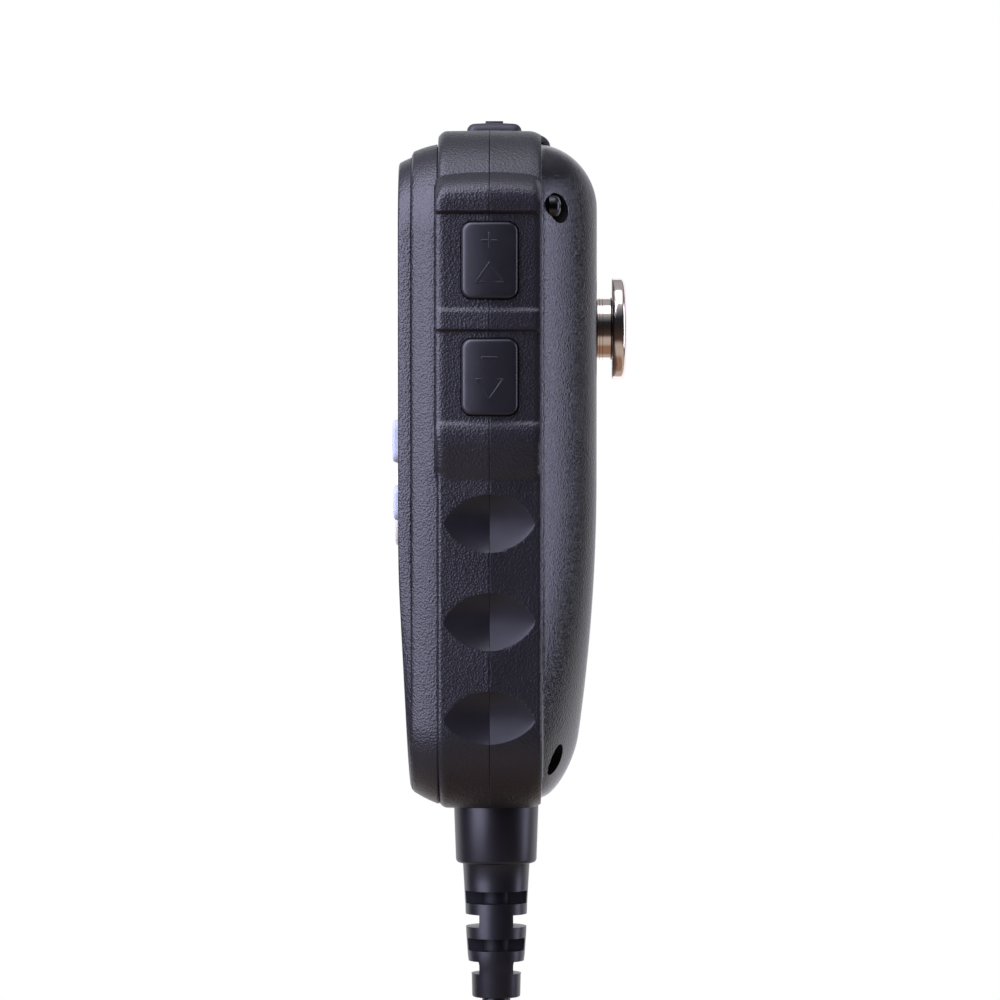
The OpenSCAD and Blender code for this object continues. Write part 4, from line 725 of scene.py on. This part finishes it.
front = solid("front_shell_skin", front_shell(), M["band"])
cut(front, painted(case_holes(), M["band"]) + painted(scallop_tools(), M["dip"]), CASE_SMOOTH)
rear = solid("rear_shell_skin", rear_shell(), M["band"])
rear.data.materials.append(M["rear"])
behind_band = [int(p.center.y > (Y_BR + 0.02) * MM) for p in rear.data.polygons]
rear.data.polygons.foreach_set("material_index", behind_band)
# The screw mouths' walls take the near-black material of painted shade
cut(rear, painted(case_holes(), M["band"]) + painted(screw_holes, M["hole"]) + painted(stud_seat, M["rear"])
    + painted(scallop_tools(), M["dip"]), CASE_SMOOTH)

# Lip behind the top keys
lip_line = np.array([(-0.1, -3.0), (1.5, -3.0), (1.5, -1.7), (1.45, -1.4), (1.35, -1.12), (1.2, -0.88), (1.0, -0.64),
                     (0.8, -0.46), (0.54, -0.28), (0.2, -0.1), (-0.1, 0.0)])
lip_end = [(13.1, 1.2), (13.0, 0.8), (12.75, 0.42), (12.35, 0.14), (11.8, 0.0)]
lip_rings = []
for x, low in [(-x, low) for x, low in lip_end] + lip_end[::-1]:
    z = Z_TOP + lip_line[:, 1] - low * (lip_line[:, 1] > -2)
    lip_rings.append(np.column_stack([np.full(len(z), x), Y_BR + lip_line[:, 0], z]))
lip = solid("rear_lip", skin(lip_rings), M["band"])
for obj in (front, rear, lip):
    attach(obj, "case")
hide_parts("front_shell")
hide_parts("rear_shell")

panel = solid("front_panel_skin", front_panel(), M["panel"])
panel_holes = [front_hole(0, WINDOW_Z, WINDOW_W + 0.2, WINDOW_H + 0.2, 1.5)]
for z, w, h, places in ((ROW_Z, ROW_W, ROW_H, (-1, 0, 1)), (SIDE_KEY_Z, SIDE_KEY_W, SIDE_KEY_H, (-1, 1))):
    panel_holes += [front_hole(i * ROW_PITCH, z, w + 2 * GAP, h + 2 * GAP, KEY_HOLE_R) for i in places]
panel_holes.append(tube_y(0, RING_Z, RING_R + RING_GAP, *PANEL_CUT, 96))
for i in range(SLOTS):
    dz = (i - (SLOTS - 1) / 2) * SLOT_PITCH
    length = 2 * math.sqrt((SPEAKER_HOLE_R - 1.6) ** 2 - dz * dz)
    panel_holes.append(front_hole(0, SPEAKER_Z + dz, length, SLOT_H, SLOT_H / 2))
panel_holes.append(tube_y(*MIC_AT, MIC_HOLE_R, *PANEL_CUT, 24))
panel_holes.append(tube_y(0, LIGHT_Z, LIGHT_HOLE_R, *PANEL_CUT, 32))
cut(panel, painted(panel_holes, M["panel"]))
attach(panel, "case")
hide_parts("front_panel")


# Keys
def domed(w, h, r, low, top, edge, fall_w, fall_h, n=10, along=12):
    """Key cap: side wall, rounded edge, and a top that falls away smoothly towards its sides and its ends."""
    rows = [(0.0, -edge)]
    rows += [(edge * (1 - math.cos(a)), edge * (math.sin(a) - 1)) for a in np.radians([15, 30, 45, 60, 75, 90])]
    rows += [(inset, 0.0) for inset in np.linspace(edge, min(w, h) / 2 - 0.15, 10)[1:]]
    base = rounded_outline(w, h, r, n, along)
    rings = [np.column_stack([base, np.full(len(base), low)])]
    for inset, z in rows:
        o = rounded_outline(w - 2 * inset, h - 2 * inset, max(r - inset, 0.1), n, along)
        fall = fall_w * (2 * o[:, 0] / w) ** 2 + fall_h * (2 * o[:, 1] / h) ** 2
        rings.append(np.column_stack([o, top + z - fall]))
    return skin(rings)


def follow(parts, w, fall_w):
    """Raised marks bent to the fall of a domed top."""
    return [(p - np.outer(fall_w * (2 * p[:, 0] / w) ** 2, (0, 0, 1)), f) for p, f in parts]


def bar(w, h, z0, z1, x=0.0, y=0.0, turn=0.0):
    """Small raised bar with chamfered edges."""
    p, f = stack(w, h, 0.12, [(0, z0), (0, z1 - 0.05), (0.06, z1)], 3)
    c, s = math.cos(turn), math.sin(turn)
    return np.column_stack([x + c * p[:, 0] - s * p[:, 1], y + s * p[:, 0] + c * p[:, 1], p[:, 2]]), f


def triangle(top, way, x=0.0, y=0.0, size=1.9):
    """Outline triangle of three raised bars, pointing up or down the key."""
    corners = [(x - size, y - way * 1.5), (x + size, y - way * 1.5), (x, y + way * 1.5)]
    parts = []
    for (x0, y0), (x1, y1) in zip(corners, corners[1:] + corners[:1]):
        length, turn = math.hypot(x1 - x0, y1 - y0), math.atan2(y1 - y0, x1 - x0)
        parts.append(bar(length + 0.2, 0.32, top - 0.3, top + 0.07, (x0 + x1) / 2, (y0 + y1) / 2, turn))
    return parts


def key(name, body, node, parts, place, mat, slot):
    """Key cap of closed parts in local axes, put in its place."""
    p, f = merge_solids(parts)
    obj = solid(name, (place(p), f), mat)
    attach(obj, body)
    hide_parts(node)


volume_top, volume_fall = BLOCK_FLOOR + 0.9, 0.43
mark = (volume_top - 0.3, volume_top + 0.06)
for name, z, way in (("volume_up", VOLUME_Z[0], 1), ("volume_down", VOLUME_Z[1], -1)):
    marks = triangle(volume_top, way, 0.0, -1.85, 2.05)
    marks.append(bar(2.6, 0.36, *mark, 0.0, 3.0))
    if way > 0:
        marks.append(bar(0.36, 2.6, *mark, 0.0, 3.0))
    cap = domed(VOLUME_W, VOLUME_H, 1.6, KEY_FOOT, volume_top, 0.55, volume_fall, 0.06)
    parts = [cap] + follow(marks, VOLUME_W, volume_fall)
    key(name + "_cap", name, name + "_key", parts, lambda p, z=z: to_band(p, 1, z), M["dark_key"], "dark_key")

ptt_fall = 0.5
ptt_ribs = [bar(PTT_W - 3.2, 0.8, PTT_TOP - 0.7, PTT_TOP + 0.05, 0.0, 2.0 + (i - 3) * 1.9) for i in range(7)]
ptt_parts = [domed(PTT_W, PTT_H, 1.5, -2.0, PTT_TOP - 0.2, 0.9, ptt_fall, 0.3)] + follow(ptt_ribs, PTT_W, ptt_fall)
key("talk_bar_cap", "talk_bar", "ptt_bar", ptt_parts, lambda p: to_band(p, -1, PTT_Z), M["dark_key"], "dark_key")

for name, side in (("channel_up", 1), ("channel_down", -1)):
    parts = [domed(TOP_KEY_W, TOP_KEY_D, 1.3, KEY_FOOT, 2.0, 1.1, 0.2, 0.2), bar(4.8, 2.8, 1.5, 2.4)]
    key(name + "_cap", name, name + "_key", parts, lambda p, s=side: to_top(p, s * TOP_KEY_X, TOP_KEY_Y),
        M["top_key"], "dark_key")

for name, node, x, z, w, h, proud in (
        ("row_left", "row_key_left", -ROW_PITCH, ROW_Z, ROW_W, ROW_H, 1.05),
        ("row_middle", "row_key_middle", 0, ROW_Z, ROW_W, ROW_H, 1.05),
        ("row_right", "row_key_right", ROW_PITCH, ROW_Z, ROW_W, ROW_H, 1.05),
        ("side_left", "side_key_left", -ROW_PITCH, SIDE_KEY_Z, SIDE_KEY_W, SIDE_KEY_H, 0.9),
        ("side_right", "side_key_right", ROW_PITCH, SIDE_KEY_Z, SIDE_KEY_W, SIDE_KEY_H, 0.9)):
    parts = [domed(w, h, 1.5, FRONT_KEY_FOOT, proud, 0.45, 0.12, 0.12)]
    key(name + "_cap", name, node, parts, lambda p, x=x, z=z: to_front(p, x, z), M["pale_key"], "pale_key")

ring_points, ring_faces = lathe([
    (RING_BORE_R, -26.2), (RING_BORE_R, -31.6), (3.27, -31.8), (3.5, -31.9), (4.1, -31.92), (5.4, -31.92),
    (5.8, -31.85), (6.02, -31.65), (RING_R, -31.35), (RING_R, -26.2)], 96, "y", (0, 0, RING_Z))
# The bore goes round the select key, which sits a little above the ring's middle
from_middle = np.hypot(ring_points[:, 0], ring_points[:, 2] - RING_Z)
ring_points[:, 2] += (SIDE_KEY_Z - RING_Z) * np.clip((5.4 - from_middle) / 1.9, 0, 1)
ring = solid("rocker_ring_cap", (ring_points, ring_faces), M["ring"])
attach(ring, "rocker")
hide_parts("rocker_ring")
select_part = lathe([(0, -25.0), (SELECT_R, -25.0), (SELECT_R, -31.55), (2.66, -31.77), (2.45, -31.94), (2.1, -32.02),
                     (1.2, -32.05), (0, -32.05)], 64, "y", (0, 0, SIDE_KEY_Z))
select = solid("select_cap", select_part, M["pale_key"])
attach(select, "select")
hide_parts("select_key")


# Hang-up stud, turned about the Y axis
stud_part = lathe([
    (0, -2.6), (3.0, -2.6), (3.0, -0.6), (5.0, -0.6), (5.2, -0.5), (5.2, 0.18), (5.05, 0.3), (4.95, 0.34),
    (4.95, 0.62), (4.88, 0.68), (4.95, 0.74), (4.95, 1.1), (4.88, 1.16), (4.95, 1.22), (4.95, 2.42), (5.05, 2.58),
    (5.25, 2.62), (7.95, 2.62), (8.12, 2.68), (8.2, 2.82), (8.2, 4.1), (8.14, 4.3), (7.98, 4.5), (7.7, 4.7),
    (7.3, 4.85), (6.6, 4.94), (4.0, 5.04), (0, 5.08)], 128, "y")
stud = solid("hang_stud_turned", stud_part, M["stud"], METAL_SMOOTH)
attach(stud, "case")
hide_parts("hang_stud")


# Domed heads of the casing screws, each with a cross recess
dome_tools, dome_parts = [], []
for (x, z, y), rise in zip(SCREWS, DOME_RISE):
    for s in (1, -1):
        seat = y + rise
        dome_parts.append(lathe([(0, seat), (1.75, seat), (1.75, seat + 0.7), (1.66, seat + 1.1), (1.4, seat + 1.45),
                                 (0.9, seat + 1.72), (0, seat + 1.85)], 40, "y", (s * x, 0, z)))
        for turn in (0, 1):
            w, h = ((0.46, 2.0), (2.0, 0.46))[turn]
            p, f = stack(w, h, 0.1, [(0, 0.0), (0, 0.9 + 0.05 * turn)], 2)
            dome_tools.append((np.column_stack([s * x + p[:, 0], seat + 1.1 + p[:, 2], z + p[:, 1]]), f))
domes = solid("case_screw_domes", merge_solids(dome_parts), M["screw"])
for turn in (0, 1):
    cut(domes, painted(dome_tools[turn::2], M["screw"]), METAL_SMOOTH)
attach(domes, "case")


# Strain-relief boot
BOOT_SLOTS = [-90.75, -94.5, -98.3, -102.0]
BOOT_STRUT, BOOT_WEB, BOOT_SLOT_H, BOOT_REACH = 5.4, 2.6, 2.0, 9.0


def box(lo, hi):
    x0, y0, z0 = lo
    x1, y1, z1 = hi
    points = [(x, y, z) for z in (z0, z1) for y in (y0, y1) for x in (x0, x1)]
    faces = [(0, 2, 3, 1), (4, 5, 7, 6), (0, 1, 5, 4), (2, 6, 7, 3), (0, 4, 6, 2), (1, 3, 7, 5)]
    return np.array(points, float), faces


boot_part = lathe([
    (2.4, BOOT_TIP_Z), (3.6, BOOT_TIP_Z), (3.78, -106.7), (3.85, -106.5), (3.92, -103.2), (4.3, -102.0),
    (4.55, -100.0), (4.8, -96.5), (4.95, -92.0), (5.15, -88.5), (5.33, -85.5), (5.4, -85.37), (5.6, -85.35),
    (5.85, -85.35), (6.15, -85.25), (6.35, -85.05), (6.45, -84.75), (6.75, -76.3), (6.75, -76.02), (4.95, -76.02),
    (4.95, -74.1), (6.55, -74.1), (6.55, -72.1), (2.4, -72.1)], 96, "z", (0, BOOT_Y, 0))
core_in, core_out, core_low, core_high = CORD_D / 2 + 0.03, CORD_D / 2 + 0.07, -105.0, -87.0
core_part = lathe([(core_in, core_low), (core_out, core_low), (core_out, core_high), (core_in, core_high)], 64, "z",
                  (0, BOOT_Y, 0))
boot = solid("cable_boot_moulded", boot_part, M["boot"])
slot_tools = []
for i, z in enumerate(BOOT_SLOTS):
    for s in (1, -1):
        lo, hi = sorted([s * (BOOT_STRUT if i % 2 else BOOT_WEB) / 2, s * BOOT_REACH])
        low, high = z - BOOT_SLOT_H / 2, z + BOOT_SLOT_H / 2
        if i % 2 == 0:
            p, f = box((lo, -BOOT_REACH, low), (hi, BOOT_REACH, high))
        else:
            p, f = box((-BOOT_REACH, lo, low), (BOOT_REACH, hi, high))
        slot_tools.append((p + np.array([0, BOOT_Y, 0]), f))
cut(boot, painted(slot_tools, M["boot"]))
bevel = boot.modifiers.new("soft_edges", "BEVEL")
bevel.width, bevel.segments = 0.22 * MM, 2
bevel.limit_method, bevel.angle_limit = "ANGLE", math.radians(50)
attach(boot, "case")
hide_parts("cable_boot")
core = solid("cable_boot_core", core_part, M["core"])
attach(core, "case")


# Materials of the CAD nodes that stay
def keep(names, mat):
    for n in names:
        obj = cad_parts[n]
        for slot in obj.material_slots:
            slot.material = mat


def board_material():
    mat, shader, add, link = material("board_green", (0.02, 0.14, 0.06), 0.35)
    vector = coordinates(add, link)
    lanes = add("ShaderNodeTexBrick", Scale=0.45)
    lanes.inputs["Color1"].default_value = (0.02, 0.15, 0.06, 1)
    lanes.inputs["Color2"].default_value = (0.025, 0.18, 0.08, 1)
    lanes.inputs["Mortar"].default_value = (0.05, 0.26, 0.12, 1)
    link(vector, lanes.inputs["Vector"])
    link(lanes.outputs["Color"], shader.inputs["Base Color"])
    bumps(add, link, shader, [(lanes.outputs["Fac"], 0.2, 0.05)])
    return mat


def cloth_material():
    mat, shader, add, link = material("grille_weave", (0.012, 0.012, 0.013), 0.85)
    vector = coordinates(add, link)
    weave = add("ShaderNodeTexChecker", Scale=2.6)
    weave.inputs["Color1"].default_value = (0.01, 0.01, 0.011, 1)
    weave.inputs["Color2"].default_value = (0.035, 0.035, 0.038, 1)
    link(vector, weave.inputs["Vector"])
    link(weave.outputs["Color"], shader.inputs["Base Color"])
    bumps(add, link, shader, [(weave.outputs["Fac"], 0.6, 0.1)])
    return mat


def window_material():
    color = (0.012, 0.014, 0.016)
    mat, shader, add, link = material("smoked_window", color, 0.06, Coat_Weight=0.5, Coat_Roughness=0.04)
    vector = coordinates(add, link)
    vary(add, link, vector, shader, color, 0.1, 0.1, (0.05, 0.09))
    wave = add("ShaderNodeTexNoise", Scale=0.08, Detail=1.0)
    link(vector, wave.inputs["Vector"])
    bumps(add, link, shader, [(wave.outputs["Fac"], 0.05, 0.1)])
    return mat


keep(["display_window"], window_material())
keep(["display_glass"], satin_plastic("display_grey", (0.12, 0.15, 0.11), (0.1, 0.2)))
keep(["display_frame", "board_connector"], satin_plastic("white_plastic", (0.6, 0.58, 0.52), (0.4, 0.55)))
keep(["status_light"], satin_plastic("light_pipe", (0.5, 0.62, 0.54), (0.15, 0.25)))
keep(["main_board", "volume_board", "top_board", "ptt_board"], board_material())
keep(["board_chips", "ptt_switch", "speaker_cone"], satin_plastic("chip_black", (0.02, 0.02, 0.022), (0.5, 0.65)))
keep(["board_screws", "stud_washer", "stud_screw", "ptt_pin", "cord_stop", "mic_capsule"],
     turned_metal("plain_steel", (0.5, 0.5, 0.52), (0.25, 0.4)))
keep(["case_screws"], M["screw"])
keep(["keypad_mat"], satin_plastic("key_rubber", (0.5, 0.54, 0.56), (0.55, 0.7)))
keep(["speaker_frame", "speaker_magnet"], satin_plastic("speaker_metal", (0.12, 0.12, 0.13), (0.4, 0.55), metal=0.6))
keep(["grille_cloth"], cloth_material())
keep(["mic_cup", "plug_sleeve"], M["boot"])
keep(["inner_cable"], M["cord"])
keep(["plug_shell", "plug_ring"], turned_metal("plug_nickel", (0.62, 0.61, 0.6), (0.18, 0.3), axis=2))
keep(["plug_insert"], satin_plastic("plug_insert", (0.05, 0.03, 0.022), (0.35, 0.5)))
keep(["plug_pins"], turned_metal("contact_gold", (0.72, 0.55, 0.25), (0.2, 0.3), axis=2))


# Stage and light
FLOOR_Z, FLOOR_R = -318.0, 700.0
floor_part = lathe([(0, -6), (FLOOR_R, -6), (FLOOR_R + 4, -4), (FLOOR_R + 4, -1), (FLOOR_R, 0), (0, 0)], 96, "z",
                   (0, 0, FLOOR_Z))
floor_mat = satin_plastic("floor_pale", (0.78, 0.75, 0.72), (0.6, 0.7), FLOOR_SPREAD)
floor = solid("floor", floor_part, floor_mat)
floor.visible_diffuse = floor.visible_glossy = False


def area_light(name, place, target, size, watts, color):
    data = bpy.data.lights.new(name, "AREA")
    data.shape = "RECTANGLE"
    data.size, data.size_y = size
    data.energy = watts
    data.color = color
    obj = bpy.data.objects.new(name, data)
    bpy.context.scene.collection.objects.link(obj)
    obj.location = place
    obj.visible_camera = False
    obj.rotation_euler = (Vector(target) - Vector(place)).to_track_quat("-Z", "Y").to_euler()


MIDDLE = (0.0, CAMERA_Y * MM, CAMERA_Z * MM)
COOL = (0.73, 0.72, 1.0)
area_light("left_softbox", (0.52, -0.61, 0.36), MIDDLE, (0.75, 1.5), 29.0, COOL)
area_light("right_softbox", (0.0, 0.85, 0.05), MIDDLE, (0.27, 0.9), 4.0, COOL)
area_light("top_softbox", (0.24, MIDDLE[1], 0.9), MIDDLE, (0.8, 0.62), 4.0, (0.88, 0.87, 1.0))
area_light("backdrop", (-0.8, MIDDLE[1], MIDDLE[2]), MIDDLE, (2.8, 1.3), 13.6, (0.93, 0.93, 1.0))

# White behind the part. The room shows only in its light and reflections: upwards a table's brown foot, the pale
# table, dark walls and a pale ceiling, each at the sine of its elevation
ROOM = [(-1.0, (0.34, 0.2, 0.14)), (-0.95, (0.3, 0.18, 0.12)), (-0.88, (0.54, 0.46, 0.43)),
        (-0.6, (0.54, 0.46, 0.43)), (-0.46, (0.07, 0.045, 0.04)), (-0.04, (0.03, 0.022, 0.02)),
        (0.08, (0.018, 0.0185, 0.02)), (0.4, (0.02, 0.021, 0.025)), (0.64, (0.2, 0.21, 0.24)),
        (0.76, (0.42, 0.42, 0.46))]
world = bpy.data.worlds.new("studio")
bpy.context.scene.world = world
world.use_nodes = True
nodes, links = world.node_tree.nodes, world.node_tree.links
nodes.clear()
output = nodes.new("ShaderNodeOutputWorld")
mix = nodes.new("ShaderNodeMixShader")
path = nodes.new("ShaderNodeLightPath")
fill = nodes.new("ShaderNodeBackground")
way = nodes.new("ShaderNodeTexCoord")
split = nodes.new("ShaderNodeSeparateXYZ")
links.new(way.outputs["Generated"], split.inputs["Vector"])
level = nodes.new("ShaderNodeMapRange")
level.inputs["From Min"].default_value, level.inputs["From Max"].default_value = -1.0, 1.0
links.new(split.outputs["Z"], level.inputs["Value"])
tint = ramp(nodes.new, links.new, level.outputs["Result"], [((z + 1) / 2, c) for z, c in ROOM])
links.new(tint, fill.inputs["Color"])
white = nodes.new("ShaderNodeBackground")
white.inputs["Color"].default_value = (1.0, 1.0, 1.0, 1.0)
white.inputs["Strength"].default_value = 1.0
links.new(path.outputs["Is Camera Ray"], mix.inputs["Fac"])
links.new(fill.outputs["Background"], mix.inputs[1])
links.new(white.outputs["Background"], mix.inputs[2])
links.new(mix.outputs["Shader"], output.inputs["Surface"])
bpy.context.scene.view_settings.view_transform = "Standard"
bpy.context.scene.view_settings.look = "None"
